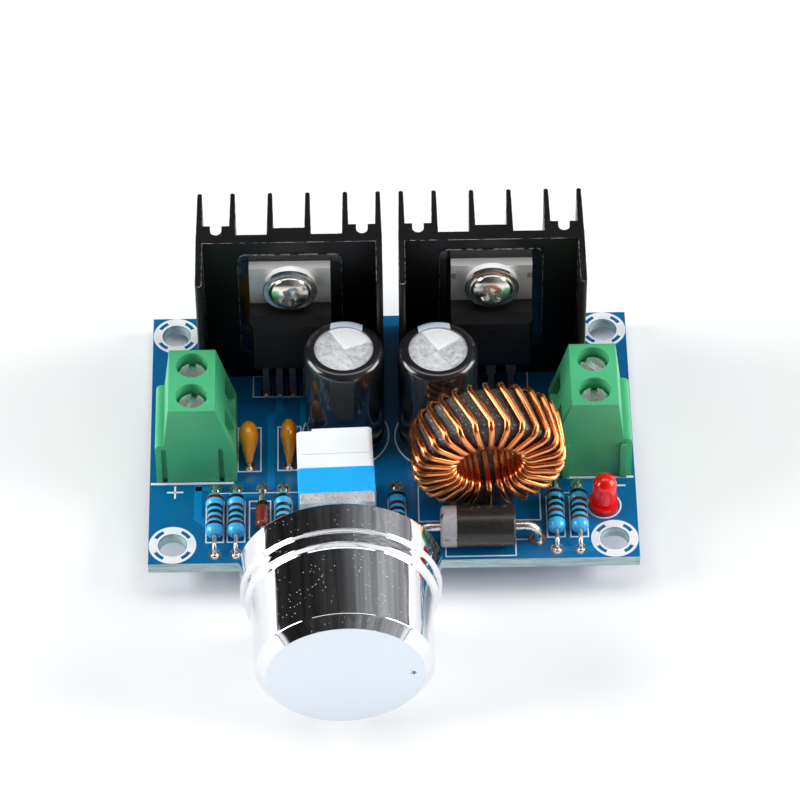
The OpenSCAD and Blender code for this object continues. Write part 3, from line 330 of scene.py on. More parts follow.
# %% Blending a second colour over a finish, and finding edges
def blend_in(material, mask, colour):
    tree = material.node_tree
    shader = tree.nodes["Principled BSDF"]
    under = shader.inputs["Base Color"].links[0].from_socket
    mix = node_of(tree, "ShaderNodeMix", data_type="RGBA")
    tree.links.new(mask, mix.inputs[0])
    tree.links.new(under, mix.inputs[6])
    mix.inputs[7].default_value = (*colour, 1)
    tree.links.new(mix.outputs[2], shader.inputs["Base Color"])
    return mix


def maths(tree, operation, first, second=None, clamp=False):
    made = node_of(tree, "ShaderNodeMath", operation=operation, use_clamp=clamp)
    for socket, value in zip(made.inputs, (first, second)):
        if isinstance(value, (int, float)):
            socket.default_value = value
        elif value is not None:
            tree.links.new(value, socket)
    return made.outputs[0]


def edge_mask(tree, width, amount, place):
    soft = node_of(tree, "ShaderNodeBevel", samples=4)
    soft.inputs["Radius"].default_value = width * MM
    true = node_of(tree, "ShaderNodeNewGeometry")
    dot = node_of(tree, "ShaderNodeVectorMath", operation="DOT_PRODUCT")
    tree.links.new(soft.outputs["Normal"], dot.inputs[0])
    tree.links.new(true.outputs["Normal"], dot.inputs[1])
    turned = maths(tree, "SUBTRACT", 0.985, dot.outputs["Value"])
    edge = maths(tree, "MULTIPLY", turned, 9.0, clamp=True)
    chips = node_of(tree, "ShaderNodeTexNoise")
    chips.inputs["Scale"].default_value = 1400
    chips.inputs["Detail"].default_value = 5
    tree.links.new(place.outputs["Vector"], chips.inputs["Vector"])
    spots = node_of(tree, "ShaderNodeMapRange")
    spots.inputs["From Min"].default_value = 0.42
    spots.inputs["From Max"].default_value = 0.56
    spots.inputs["To Max"].default_value = amount
    tree.links.new(chips.outputs["Fac"], spots.inputs["Value"])
    return maths(tree, "MULTIPLY", edge, spots.outputs["Result"], clamp=True)


# %% Masks from a place on the piece
def along(tree, direction, origin):
    """Distance in mm from a point, measured along a direction, on object coordinates."""
    coords = node_of(tree, "ShaderNodeTexCoord")
    away = node_of(tree, "ShaderNodeVectorMath", operation="SUBTRACT")
    away.inputs[1].default_value = [c * MM for c in origin]
    dot = node_of(tree, "ShaderNodeVectorMath", operation="DOT_PRODUCT")
    dot.inputs[1].default_value = Vector(direction).normalized() / MM
    tree.links.new(coords.outputs["Object"], away.inputs[0])
    tree.links.new(away.outputs["Vector"], dot.inputs[0])
    return dot.outputs["Value"]


def between(tree, value, low, high, soft=0.04):
    up = node_of(tree, "ShaderNodeMapRange")
    up.inputs["From Min"].default_value = low - soft
    up.inputs["From Max"].default_value = low + soft
    down = node_of(tree, "ShaderNodeMapRange")
    down.inputs["From Min"].default_value = high - soft
    down.inputs["From Max"].default_value = high + soft
    down.inputs["To Min"].default_value = 1.0
    down.inputs["To Max"].default_value = 0.0
    tree.links.new(value, up.inputs["Value"])
    tree.links.new(value, down.inputs["Value"])
    return maths(tree, "MULTIPLY", up.outputs["Result"], down.outputs["Result"])


def dress(name, material):
    node = NODES[name]
    node.data.materials.clear()
    node.data.materials.append(material)
    return node


print("finish helpers ready")

# %% [markdown]
# ## The board's mask and edge
# The board is glass laminate with a blue varnish on both faces. The varnish is glossy and dark;
# the sawn edge shows the pale greenish laminate with its glass threads lying along the cut.
# Two material slots could do this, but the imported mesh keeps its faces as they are, so one material
# chooses by the direction that the surface faces.
# %% Board finish
def board_finish():
    m = finish("board_mask", (0.0015, 0.135, 0.34), rough=(0.16, 0.26), tone=0.14, grain=160, bump=0.1,
               depth=0.02, coat=0.12)
    tree = m.node_tree
    facing = node_of(tree, "ShaderNodeNewGeometry")
    split = node_of(tree, "ShaderNodeSeparateXYZ")
    tree.links.new(facing.outputs["Normal"], split.inputs[0])
    upright = maths(tree, "ABSOLUTE", split.outputs["Z"])
    side = maths(tree, "LESS_THAN", upright, 0.5)
    coords = node_of(tree, "ShaderNodeTexCoord")
    threads_place = node_of(tree, "ShaderNodeMapping")
    threads_place.inputs["Scale"].default_value = (260, 260, 2600)
    tree.links.new(coords.outputs["Object"], threads_place.inputs["Vector"])
    threads = node_of(tree, "ShaderNodeTexNoise")
    threads.inputs["Scale"].default_value = 1.0
    threads.inputs["Detail"].default_value = 6
    threads.inputs["Roughness"].default_value = 0.7
    tree.links.new(threads_place.outputs["Vector"], threads.inputs["Vector"])
    laminate = node_of(tree, "ShaderNodeValToRGB")
    laminate.color_ramp.elements[0].position = 0.35
    laminate.color_ramp.elements[0].color = (0.22, 0.40, 0.43, 1)
    laminate.color_ramp.elements[1].position = 0.68
    laminate.color_ramp.elements[1].color = (0.58, 0.70, 0.69, 1)
    tree.links.new(threads.outputs["Fac"], laminate.inputs["Fac"])
    mix = blend_in(m, side, (1, 1, 1))
    tree.links.new(laminate.outputs["Color"], mix.inputs[7])
    return m


dress("board", board_finish())
print("board finished")

# %% [markdown]
# ## Black anodised heatsinks
# Extruded aluminium, dyed black. The dye is a hair rough, and where the saw and the tumbling barrel
# touched the fins' ends and edges the bright metal shows as thin broken lines.
# %% Heatsink finish
anodised = finish("black_anodised", (0.006, 0.006, 0.007), rough=(0.30, 0.46), metal=0.0, tone=0.3, grain=700,
                  bump=0.25, depth=0.02, wear=(0.75, 0.76, 0.78), wear_width=0.10, wear_amount=0.9)
anodised.node_tree.nodes["Principled BSDF"].inputs["Specular IOR Level"].default_value = 0.3
for name in ("heatsink_left", "heatsink_right"):
    dress(name, anodised)
print("heatsinks finished")

# %% [markdown]
# ## Bright metals
# Several metals sit side by side and must not look alike: matt plated copper on the device tabs,
# satin tinned leads, bright plated screws and duller nickel on the terminal screws.
# %% Metal finishes
tinned = finish("tinned", (0.72, 0.71, 0.68), rough=(0.24, 0.34), metal=1.0, tone=0.10, grain=900, bump=0.08,
                depth=0.01)
solder = finish("solder", (0.72, 0.72, 0.70), rough=(0.12, 0.3), metal=1.0, tone=0.15, grain=700, bump=0.15,
                depth=0.02)
tab_metal = finish("tab_metal", (0.86, 0.86, 0.85), rough=(0.30, 0.42), metal=0.6, tone=0.07, grain=500,
                   bump=0.2, depth=0.02, wear=(0.8, 0.78, 0.72), wear_width=0.08, wear_amount=0.5)
screw_steel = finish("screw_steel", (0.86, 0.84, 0.78), rough=(0.16, 0.26), metal=1.0, tone=0.08, grain=800,
                     bump=0.15, depth=0.02)
clamp_steel = finish("clamp_steel", (0.92, 0.93, 0.94), rough=(0.20, 0.30), metal=0.85, tone=0.05, grain=300,
                     bump=0.02, depth=0.01, wear=(0.95, 0.94, 0.9), wear_width=0.12, wear_amount=0.9)
zinc = finish("zinc", (0.80, 0.84, 0.88), rough=(0.24, 0.42), metal=0.7, tone=0.22, grain=1500, bump=0.22,
              depth=0.03)
# A darker copy of the tinned finish: painted shade for the device leads, which stand in shadow.
tin_in_painted_shade = finish("tin_in_painted_shade", (0.20, 0.20, 0.21), rough=(0.4, 0.55), metal=0.5, tone=0.15, grain=900,
                  bump=0.1)
for name in NODES:
    if name.endswith("_leads") or name.endswith("_pins") or name.endswith("_contacts"):
        dress(name, tinned)
# The device leads take the darker copy of the tin: painted shade.
for name in ("regulator_leads", "rectifier_leads"):
    dress(name, tin_in_painted_shade)
dress("solder_joints", solder)
dress("regulator_tab", tab_metal)
dress("rectifier_tab", tab_metal)
dress("tab_washers", screw_steel)
dress("tab_screws", screw_steel)
for side in ("left", "right"):
    for row in ("front", "rear"):
        dress(f"terminal_{side}_screw_{row}", clamp_steel)
        dress(f"terminal_{side}_clamp_{row}", clamp_steel)
dress("control_plate", zinc)
dress("control_shaft", zinc)
print("metals finished")

# %% [markdown]
# ## Plastics and coatings
# Moulded and dipped parts differ mostly in gloss. The terminal blocks let a little light in, the
# dipped capacitors are glossy and wet-looking, and the moulding compound of the devices is matt.
# %% Plastic finishes
moulding = finish("moulding", (0.007, 0.007, 0.008), rough=(0.40, 0.5), tone=0.25, grain=1200, bump=0.4,
                  depth=0.02)
nylon = finish("nylon", (0.88, 0.88, 0.86), rough=(0.35, 0.45), tone=0.04, grain=900, bump=0.1)
green = finish("block_green", (0.070, 0.44, 0.20), rough=(0.30, 0.42), tone=0.08, grain=350, bump=0.12,
               depth=0.02)
green.node_tree.nodes["Principled BSDF"].inputs["Subsurface Weight"].default_value = 0.12
green_depth = green.node_tree.nodes["Principled BSDF"].inputs["Subsurface Radius"]
green_depth.default_value = (0.4 * MM, 1.2 * MM, 0.5 * MM)
green.node_tree.nodes["Principled BSDF"].inputs["Subsurface Scale"].default_value = 1.0
control_blue = finish("control_blue", (0.012, 0.40, 0.95), rough=(0.2, 0.3), tone=0.04, grain=500, bump=0.08)
control_white = finish("control_white", (0.84, 0.88, 0.90), rough=(0.3, 0.42), tone=0.03, grain=500, bump=0.1)
dipped = finish("dipped_orange", (0.88, 0.31, 0.008), rough=(0.12, 0.22), tone=0.14, grain=450, bump=0.25,
                depth=0.05, coat=0.5)
dress("regulator_body", moulding)
dress("rectifier_body", moulding)
dress("insulating_bushes", nylon)
dress("terminal_left_housing", green)
dress("terminal_right_housing", green)
dress("control_wafer", control_blue)
dress("control_switch_front", control_white)
dress("control_switch_rear", control_white)
dress("dipped_capacitor_left", dipped)
dress("dipped_capacitor_right", dipped)
print("plastics finished")

# %% [markdown]
# ## The insulating sheets
# Behind each device lies a thin clear sheet, nearly invisible but for its edges. Real mica is a
# stack of clear layers; a thin sheet of glassy material is enough here. Its rim is painted pale and
# drawn more opaque, a painted highlight for the light that the cut edges catch.
# %% Insulator finish
mica = finish("mica_sheet", (0.012, 0.013, 0.014), rough=(0.05, 0.12), tone=0.2, grain=300, bump=0.06,
              ior=2.0)
mica_shader = mica.node_tree.nodes["Principled BSDF"]
mica.surface_render_method = "BLENDED"
rim = edge_mask(mica.node_tree, 0.16, 1.0, mica.node_tree.nodes["place"])
rim_alpha = node_of(mica.node_tree, "ShaderNodeMapRange")
rim_alpha.inputs["To Min"].default_value = 0.6
rim_alpha.inputs["To Max"].default_value = 0.9
mica.node_tree.links.new(rim, rim_alpha.inputs["Value"])
mica.node_tree.links.new(rim_alpha.outputs["Result"], mica_shader.inputs["Alpha"])
# Painted highlight: the rim is painted pale where the cut edges catch the light.
blend_in(mica, rim, (0.62, 0.66, 0.64))
dress("insulator_left", mica)
dress("insulator_right", mica)
print("sheets finished")

# %% [markdown]
# ## The wound ring
# The ring is a black coated core with one thick enamelled wire wound round it. Enamel is a clear
# orange varnish over bright copper, so the wire is metal below and shiny clear coat above, lighter
# where the varnish is thin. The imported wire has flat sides; a copy of it with its points merged and
# its shading smoothed looks round. Winding a new wire along a curve would also work, but it could
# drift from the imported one.
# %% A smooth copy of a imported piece
def smooth_copy(name, piece_name, angle=40.0):
    source = NODES[name]
    mesh = source.data.copy()
    piece = bpy.data.objects.new(piece_name, mesh)
    bpy.context.scene.collection.objects.link(piece)
    deselect()
    piece.select_set(True)
    bpy.context.view_layer.objects.active = piece
    bpy.ops.object.mode_set(mode="EDIT")
    bpy.ops.mesh.select_all(action="SELECT")
    bpy.ops.mesh.remove_doubles(threshold=0.001 * MM)
    bpy.ops.object.mode_set(mode="OBJECT")
    bpy.ops.mesh.customdata_custom_splitnormals_clear()
    bpy.ops.object.shade_smooth_by_angle(angle=math.radians(angle))
    deselect()
    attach(piece, source["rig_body"])
    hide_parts(name)
    return piece


def choose_points(piece, wanted):
    """Opens a piece in edit mode with only the wanted points selected, and tells how many they are."""
    deselect()
    piece.select_set(True)
    bpy.context.view_layer.objects.active = piece
    bpy.context.tool_settings.mesh_select_mode = (True, False, False)
    bpy.ops.object.mode_set(mode="EDIT")
    bpy.ops.mesh.select_all(action="DESELECT")
    bpy.ops.object.mode_set(mode="OBJECT")
    for v in piece.data.vertices:
        v.select = wanted(v.co)
    count = sum(v.select for v in piece.data.vertices)
    bpy.ops.object.mode_set(mode="EDIT")
    return count


def close_piece():
    bpy.ops.object.mode_set(mode="OBJECT")
    bpy.context.tool_settings.mesh_select_mode = (False, False, True)


def clothe(piece, material):
    piece.data.materials.clear()
    piece.data.materials.append(material)
    return piece


enamel = finish("enamelled_copper", (0.93, 0.32, 0.10), rough=(0.20, 0.28), metal=1.0, tone=0.07, grain=420,
                bump=0.04, depth=0.02, coat=0.4)
enamel.node_tree.nodes["Principled BSDF"].inputs["Coat Roughness"].default_value = 0.05
winding = clothe(smooth_copy("choke_winding", "winding_smooth", 60), enamel)
core_finish = finish("core_coating", (0.055, 0.056, 0.056), rough=(0.4, 0.6), tone=0.3, grain=900, bump=0.5,
                     depth=0.04)
specks_tree = core_finish.node_tree
specks = node_of(specks_tree, "ShaderNodeTexVoronoi")
specks.inputs["Scale"].default_value = 1900
specks_tree.links.new(specks_tree.nodes["place"].outputs["Vector"], specks.inputs["Vector"])
speck_mask = maths(specks_tree, "LESS_THAN", specks.outputs["Distance"], 0.24)
blend_in(core_finish, speck_mask, (0.26, 0.27, 0.27))
dress("choke_core", core_finish)
print("winding copy:", len(winding.data.polygons), "faces")

# %% [markdown]
# ## The knob
# Chromed plastic. The skirt, step and grip mirror the whole bench, the rolled edges catch white
# lines, and the flat face is brushed to a satin so that the hand has a matt surface to look at.
# Tiny pits in the plating show as light specks. The satin starts where the surface turns to face
# along the knob's axis, so the material can find it without a second slot.
# %% Knob finish
knob_joint = next(j for j in frame["joints"] if j["name"] == "knob_turn")
knob_axis = Vector(knob_joint["axis"]).normalized()
knob_place = Vector(knob_joint["pos_m"])
chrome = finish("knob_chrome", (0.86, 0.87, 0.89), rough=(0.03, 0.08), metal=1.0, tone=0.03, grain=260,
                bump=0.10, depth=0.012)


def knob_details():
    tree = chrome.node_tree
    shader = tree.nodes["Principled BSDF"]
    reach = along(tree, knob_axis, [c / MM for c in knob_place])
    far = max((v.co - knob_place).dot(knob_axis) for v in NODES["knob"].data.vertices) / MM
    face = between(tree, reach, far - 0.03, far + 1.0, 0.02)
    rough_mix = node_of(tree, "ShaderNodeMix", data_type="FLOAT")
    tree.links.new(face, rough_mix.inputs[0])
    tree.links.new(tree.nodes["gloss"].outputs["Result"], rough_mix.inputs[2])
    rough_mix.inputs[3].default_value = 0.34
    tree.links.new(rough_mix.outputs[0], shader.inputs["Roughness"])
    pits = node_of(tree, "ShaderNodeTexVoronoi")
    pits.inputs["Scale"].default_value = 2100
    tree.links.new(tree.nodes["place"].outputs["Vector"], pits.inputs["Vector"])
    rare = node_of(tree, "ShaderNodeTexNoise")
    rare.inputs["Scale"].default_value = 240
    rare.inputs["Detail"].default_value = 4
    tree.links.new(tree.nodes["place"].outputs["Vector"], rare.inputs["Vector"])
    small = maths(tree, "LESS_THAN", pits.outputs["Distance"], 0.11)
    seldom = maths(tree, "GREATER_THAN", rare.outputs["Fac"], 0.46)
    pit = maths(tree, "MULTIPLY", small, seldom)
    off_face = maths(tree, "SUBTRACT", 1.0, face)
    pit = maths(tree, "MULTIPLY", pit, off_face)
    dull = node_of(tree, "ShaderNodeMix", data_type="FLOAT")
    tree.links.new(pit, dull.inputs[0])
    tree.links.new(rough_mix.outputs[0], dull.inputs[2])
    dull.inputs[3].default_value = 0.75
    tree.links.new(dull.outputs[0], shader.inputs["Roughness"])
    blend_in(chrome, pit, (0.95, 0.95, 0.95))
    blend_in(chrome, face, (0.70, 0.75, 0.82))
    return far


print("knob face at", round(knob_details(), 2), "mm from its joint")


# %% [markdown]
# Between skirt and grip the knob steps down twice, over a narrow collar. On the plated part every
# edge is rolled, and a rolled edge of chrome shows as one bright line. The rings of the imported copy
# are pulled out a little to form the collar, and a bevel modifier rolls the edges. Turning a new
# profile would work too, but the copy already holds the dot and the bore.
# %% Collar and rolled edges of the knob
def reach_and_radius(point):
    reach = (point - knob_place).dot(knob_axis)
    return reach / MM, (point - knob_place - knob_axis * reach).length / MM


def roll_edges(piece):
    for place, old, new in ((9.75, 12.13, 11.87), (10.5, 11.73, 11.87), (11.25, 11.33, 11.87)):
        def on_ring(point):
            reach, radius = reach_and_radius(point)
            return abs(reach - place) < 0.05 and abs(radius - old) < 0.05
        print("ring points:", choose_points(piece, on_ring))
        bpy.ops.transform.resize(value=(new / old,) * 3, center_override=knob_place + knob_axis * place * MM)
        close_piece()
    bpy.ops.object.mode_set(mode="EDIT")
    bpy.ops.mesh.select_all(action="SELECT")
    bpy.ops.mesh.dissolve_limited(angle_limit=math.radians(0.5))
    bpy.ops.object.mode_set(mode="OBJECT")
    roll = piece.modifiers.new("roll", "BEVEL")
    roll.width = 0.13 * MM
    roll.segments = 3
    roll.limit_method = "ANGLE"
    roll.angle_limit = math.radians(20)
    bpy.ops.object.modifier_apply(modifier=roll.name)
    bpy.ops.object.shade_smooth_by_angle(angle=math.radians(40))
    weigh = piece.modifiers.new("weigh", "WEIGHTED_NORMAL")
    weigh.keep_sharp = True
    bpy.ops.object.modifier_apply(modifier=weigh.name)
    deselect()
    return piece


knob_piece = clothe(roll_edges(smooth_copy("knob", "knob_smooth", 25)), chrome)
print("knob:", len(knob_piece.data.polygons), "faces")

# %% [markdown]
# ## Capacitors
# Each can wears a shrunk black sleeve that leaves a bright disc on top. The disc carries a pressed
# cross, the vent, pressed down a little so that its four sectors lean slightly. One sector, and more
# faintly the one across from it, is painted paler: a painted sheen for the light that these sectors
# catch. A pale stripe with the minus marks runs down the sleeve on the side facing away.
# %% Capacitor finishes
def disc_painted_sheen_finish(name, centre, turns):
    m = finish(name, (0.56, 0.57, 0.60), rough=(0.34, 0.5), metal=0.2, tone=0.32, grain=6000, bump=0.4,
               depth=0.02)
    tree = m.node_tree
    sides = []
    for turn in turns:
        away = along(tree, (-math.sin(turn), math.cos(turn), 0), centre)
        step = node_of(tree, "ShaderNodeMapRange", clamp=True)
        step.inputs["From Min"].default_value = -0.12
        step.inputs["From Max"].default_value = 0.12
        tree.links.new(away, step.inputs["Value"])
        sides.append(step.outputs["Result"])
    # Painted sheen: the sector behind the two lines is painted paler, and the one ahead of them faintly, as
    # if they caught the light.
    behind = maths(tree, "MULTIPLY", sides[0], maths(tree, "SUBTRACT", 1.0, sides[1]))
    ahead = maths(tree, "MULTIPLY", sides[1], maths(tree, "SUBTRACT", 1.0, sides[0]))
    painted_sheen = maths(tree, "ADD", behind, maths(tree, "MULTIPLY", ahead, 0.3), clamp=True)
    blend_in(m, maths(tree, "MULTIPLY", painted_sheen, 0.8), (0.97, 0.98, 1.0))
    return m


def sleeve_finish(name, centre, facing):
    m = finish(name, (0.012, 0.012, 0.014), rough=(0.12, 0.2), tone=0.2, grain=250, bump=0.2, depth=0.03,
               coat=0.6)
    tree = m.node_tree
    side = along(tree, facing, centre)
    across = along(tree, (-facing[1], facing[0], 0), centre)
    near = maths(tree, "ABSOLUTE", across)
    stripe = maths(tree, "MULTIPLY", maths(tree, "LESS_THAN", near, 2.0),
                   maths(tree, "GREATER_THAN", side, 3.0))
    up = along(tree, (0, 0, 1), (0, 0, 1.6))
    step = maths(tree, "FRACT", maths(tree, "DIVIDE", up, 4.4))
    bar = maths(tree, "MULTIPLY", between(tree, step, 0.3, 0.62, 0.01), maths(tree, "LESS_THAN", near, 0.32))
    pale = maths(tree, "SUBTRACT", stripe, bar, clamp=True)
    blend_in(m, pale, (0.60, 0.68, 0.78))
    return m


can_metal = finish("can_metal", (0.82, 0.83, 0.84), rough=(0.3, 0.44), metal=1.0, tone=0.1, grain=1500,
                   bump=0.1)


# %% The pressed disc
def vent_disc(name, centre, turns):
    """A fan of triangles, cut finer, pressed down a little along two lines."""
    deselect()
    bpy.ops.mesh.primitive_circle_add(vertices=72, radius=3.62 * MM, fill_type="TRIFAN",
                                      location=(centre[0] * MM, centre[1] * MM, (centre[2] - 0.04) * MM))
    piece = bpy.context.object
    piece.name = name
    bpy.ops.object.transform_apply(location=True, rotation=True, scale=True)
    bpy.ops.object.mode_set(mode="EDIT")
    bpy.ops.mesh.select_all(action="SELECT")
    bpy.ops.mesh.subdivide(number_cuts=9)
    bpy.ops.mesh.select_all(action="DESELECT")
    bpy.ops.object.mode_set(mode="OBJECT")
    for v in piece.data.vertices:
        x, y = v.co.x / MM - centre[0], v.co.y / MM - centre[1]
        near = min(abs(-math.sin(t) * x + math.cos(t) * y) for t in turns)
        v.select = near < 0.16 and math.hypot(x, y) < 3.5
    bpy.context.tool_settings.mesh_select_mode = (True, False, False)
    bpy.ops.object.mode_set(mode="EDIT")
    bpy.ops.transform.translate(value=(0, 0, -0.09 * MM))
    bpy.ops.object.mode_set(mode="OBJECT")
    bpy.context.tool_settings.mesh_select_mode = (False, False, True)
    bpy.ops.object.shade_smooth_by_angle(angle=math.radians(60))
    deselect()
    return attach(piece, "module")


for side, turns, facing in (("left", (0.38, 2.08), (0.1, 0.995, 0)),
                            ("right", (0.62, 2.15), (-0.12, 0.993, 0))):
    low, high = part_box(f"capacitor_{side}_can")
    centre = [(low.x + high.x) / 2 / MM, (low.y + high.y) / 2 / MM, high.z / MM]
    dress(f"capacitor_{side}_can", can_metal)
    clothe(vent_disc(f"vent_disc_{side}", centre, turns), disc_painted_sheen_finish(f"disc_{side}", centre, turns))
    sleeve = smooth_copy(f"capacitor_{side}_sleeve", f"sleeve_{side}", 35)
    clothe(sleeve, sleeve_finish(f"sleeve_{side}_black", centre, facing))
print("capacitors finished")

# %% [markdown]
# ## Resistors
# A metal film resistor is a ceramic rod with swollen ends under light blue lacquer, with five
# painted rings that tell its value. The rings follow the body, so they are painted by distance
# along the body's axis. A ring modelled as a thin hoop would work too, but it would float over the
# rounded ends.
# %% Resistor finishes
LACQUER = (0.045, 0.48, 0.86)
INK = {"black": (0.006, 0.006, 0.008), "red": (0.10, 0.008, 0.008), "brown": (0.05, 0.012, 0.006)}


def resistor_finish(number, rings):
    low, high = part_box(f"resistor_{number}")
    m = finish(f"resistor_{number}_lacquer", LACQUER, rough=(0.2, 0.32), tone=0.12, grain=600, bump=0.35,
               depth=0.04, coat=0.35)
    tree = m.node_tree
    back = along(tree, (0, -1, 0), (0, high.y / MM, 0))
    length = (high.y - low.y) / MM
    for share, ink in rings:
        middle = share * length
        ring = between(tree, back, middle - 0.27, middle + 0.27, 0.05)
        blend_in(m, ring, INK[ink])
    dress(f"resistor_{number}", m)


RINGS = {
    1: [(0.13, "red"), (0.34, "black"), (0.49, "black"), (0.64, "red"), (0.79, "black")],
    2: [(0.13, "black"), (0.34, "red"), (0.49, "black"), (0.64, "black"), (0.79, "red")],
    3: [(0.13, "black"), (0.34, "black"), (0.49, "black"), (0.64, "red"), (0.79, "black")],
    4: [(0.13, "black"), (0.34, "red"), (0.49, "black"), (0.64, "black"), (0.79, "brown")],
    5: [(0.13, "black"), (0.30, "black"), (0.45, "black"), (0.60, "red"), (0.76, "black")],
    6: [(0.13, "black"), (0.32, "red"), (0.47, "black"), (0.62, "black"), (0.78, "red")],
}
for number, rings in RINGS.items():
    resistor_finish(number, rings)
print("resistors finished")

# %% [markdown]
# ## Diodes and lamp
# The big diode is a black moulded drum whose cathode end carries a scratched grey band. The small
# one is a glass bead with a dark metal plug, and the lamp is a clear red dome with a flat rim.
# %% Diode and lamp finishes
def power_diode_finish():
    m = finish("diode_black", (0.020, 0.019, 0.018), rough=(0.24, 0.36), tone=0.3, grain=500, bump=0.3,
               depth=0.04)
    tree = m.node_tree
    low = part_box("power_diode_body")[0]
    from_left = along(tree, (1, 0, 0), (low.x / MM, 0, 0))
    band = between(tree, from_left, -1.0, 2.0, 0.03)
    scratch_place = node_of(tree, "ShaderNodeMapping")
    scratch_place.inputs["Scale"].default_value = (900, 350, 500)
    coords = node_of(tree, "ShaderNodeTexCoord")
    tree.links.new(coords.outputs["Object"], scratch_place.inputs["Vector"])
    scratch = node_of(tree, "ShaderNodeTexNoise")
    scratch.inputs["Scale"].default_value = 1.0
    scratch.inputs["Detail"].default_value = 6
    tree.links.new(scratch_place.outputs["Vector"], scratch.inputs["Vector"])
    kept = node_of(tree, "ShaderNodeMapRange")
    kept.inputs["From Min"].default_value = 0.36
    kept.inputs["From Max"].default_value = 0.42
    tree.links.new(scratch.outputs["Fac"], kept.inputs["Value"])
    blend_in(m, maths(tree, "MULTIPLY", band, kept.outputs["Result"]), (0.36, 0.35, 0.37))
    return m


def glass_diode_finish():
    m = finish("glass_red", (0.34, 0.04, 0.02), rough=(0.05, 0.12), tone=0.4, grain=900, bump=0.1, coat=0.8)
    tree = m.node_tree
    shader = tree.nodes["Principled BSDF"]
    shader.inputs["Transmission Weight"].default_value = 0.35
    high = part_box("glass_diode_body")[1]
    back = along(tree, (0, -1, 0), (0, high.y / MM, 0))
    blend_in(m, between(tree, back, -1.0, 0.95, 0.05), (0.01, 0.01, 0.012))
    return m


def lamp_finish():
    m = finish("lens_red", (0.80, 0.006, 0.004), rough=(0.06, 0.12), tone=0.15, grain=300, bump=0.08,
               coat=0.3)
    shader = m.node_tree.nodes["Principled BSDF"]
    shader.inputs["Transmission Weight"].default_value = 0.1
    shader.inputs["Subsurface Weight"].default_value = 0.25
    shader.inputs["Subsurface Radius"].default_value = (2.0 * MM, 0.3 * MM, 0.2 * MM)
    shader.inputs["Subsurface Scale"].default_value = 1.0
    return m


clothe(smooth_copy("power_diode_body", "power_diode_drum", 35), power_diode_finish())
clothe(smooth_copy("glass_diode_body", "glass_diode_bead", 35), glass_diode_finish())
clothe(smooth_copy("lamp_lens", "lamp_dome", 35), lamp_finish())
print("diodes and lamp finished")

# %% [markdown]
# ## Copper tracks under the mask
# Where copper runs below the varnish the board stands a little higher and looks a lighter blue.
# A track is a long flat strip with bends. Each straight run is a plane, thickened by extruding, and
# all runs are joined to one piece. The height is real: copper and varnish together are 0.05 mm.
# %% Flat strips on the board
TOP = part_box("board")[1].z / MM


def raise_flat(height):
    bpy.ops.object.mode_set(mode="EDIT")
    bpy.ops.mesh.select_all(action="SELECT")
    bpy.ops.mesh.extrude_region_move(TRANSFORM_OT_translate={"value": (0, 0, height * MM)})
    bpy.ops.mesh.select_all(action="SELECT")
    bpy.ops.mesh.normals_make_consistent(inside=False)
    bpy.ops.object.mode_set(mode="OBJECT")


def strip(start, end, width, base=0.0, height=0.03, extra=0.0):
    a, b = Vector((*start, 0)), Vector((*end, 0))
    run = b - a
    deselect()
    bpy.ops.mesh.primitive_plane_add(size=1, location=(0, 0, 0))
    piece = bpy.context.object
    piece.scale = ((run.length + 2 * extra) * MM, width * MM, 1)
    piece.rotation_euler = (0, 0, math.atan2(run.y, run.x))
    piece.location = Vector(((a.x + b.x) / 2, (a.y + b.y) / 2, TOP + base)) * MM
    bpy.ops.object.transform_apply(location=True, rotation=True, scale=True)
    raise_flat(height)
    return piece


def path(points, width, closed=False, base=0.0, height=0.03):
    """Straight runs with square ends, each a hair higher so that no two tops lie in one plane."""
    ends = points + points[:1] if closed else points
    return [strip(a, b, width, base, height + 0.002 * i, width / 2)
            for i, (a, b) in enumerate(zip(ends, ends[1:]))]


def box_outline(x0, y0, x1, y1, width=0.16, **options):
    return path([(x0, y0), (x1, y0), (x1, y1), (x0, y1)], width, closed=True, **options)


def band(centre, inner, outer, base=0.0, height=0.03, sides=64):
    """A flat washer: a disc, inset once, with its middle taken out, then raised."""
    deselect()
    bpy.ops.mesh.primitive_circle_add(vertices=sides, radius=outer * MM, fill_type="NGON",
                                      location=Vector((centre[0], centre[1], TOP + base)) * MM)
    piece = bpy.context.object
    bpy.ops.object.transform_apply(location=True, rotation=True, scale=True)
    bpy.ops.object.mode_set(mode="EDIT")
    bpy.ops.mesh.select_all(action="SELECT")
    bpy.ops.mesh.inset(thickness=(outer - inner) * MM * math.cos(math.pi / sides), depth=0)
    bpy.ops.mesh.delete(type="FACE")
    bpy.ops.object.mode_set(mode="OBJECT")
    raise_flat(height)
    return piece


def join_as(pieces, name, material, body="module"):
    deselect()
    for piece in pieces:
        piece.select_set(True)
    bpy.context.view_layer.objects.active = pieces[0]
    if len(pieces) > 1:
        bpy.ops.object.join()
    made = bpy.context.object
    made.name = name
    made.data.name = name
    deselect()
    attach(made, body)
    return clothe(made, material)


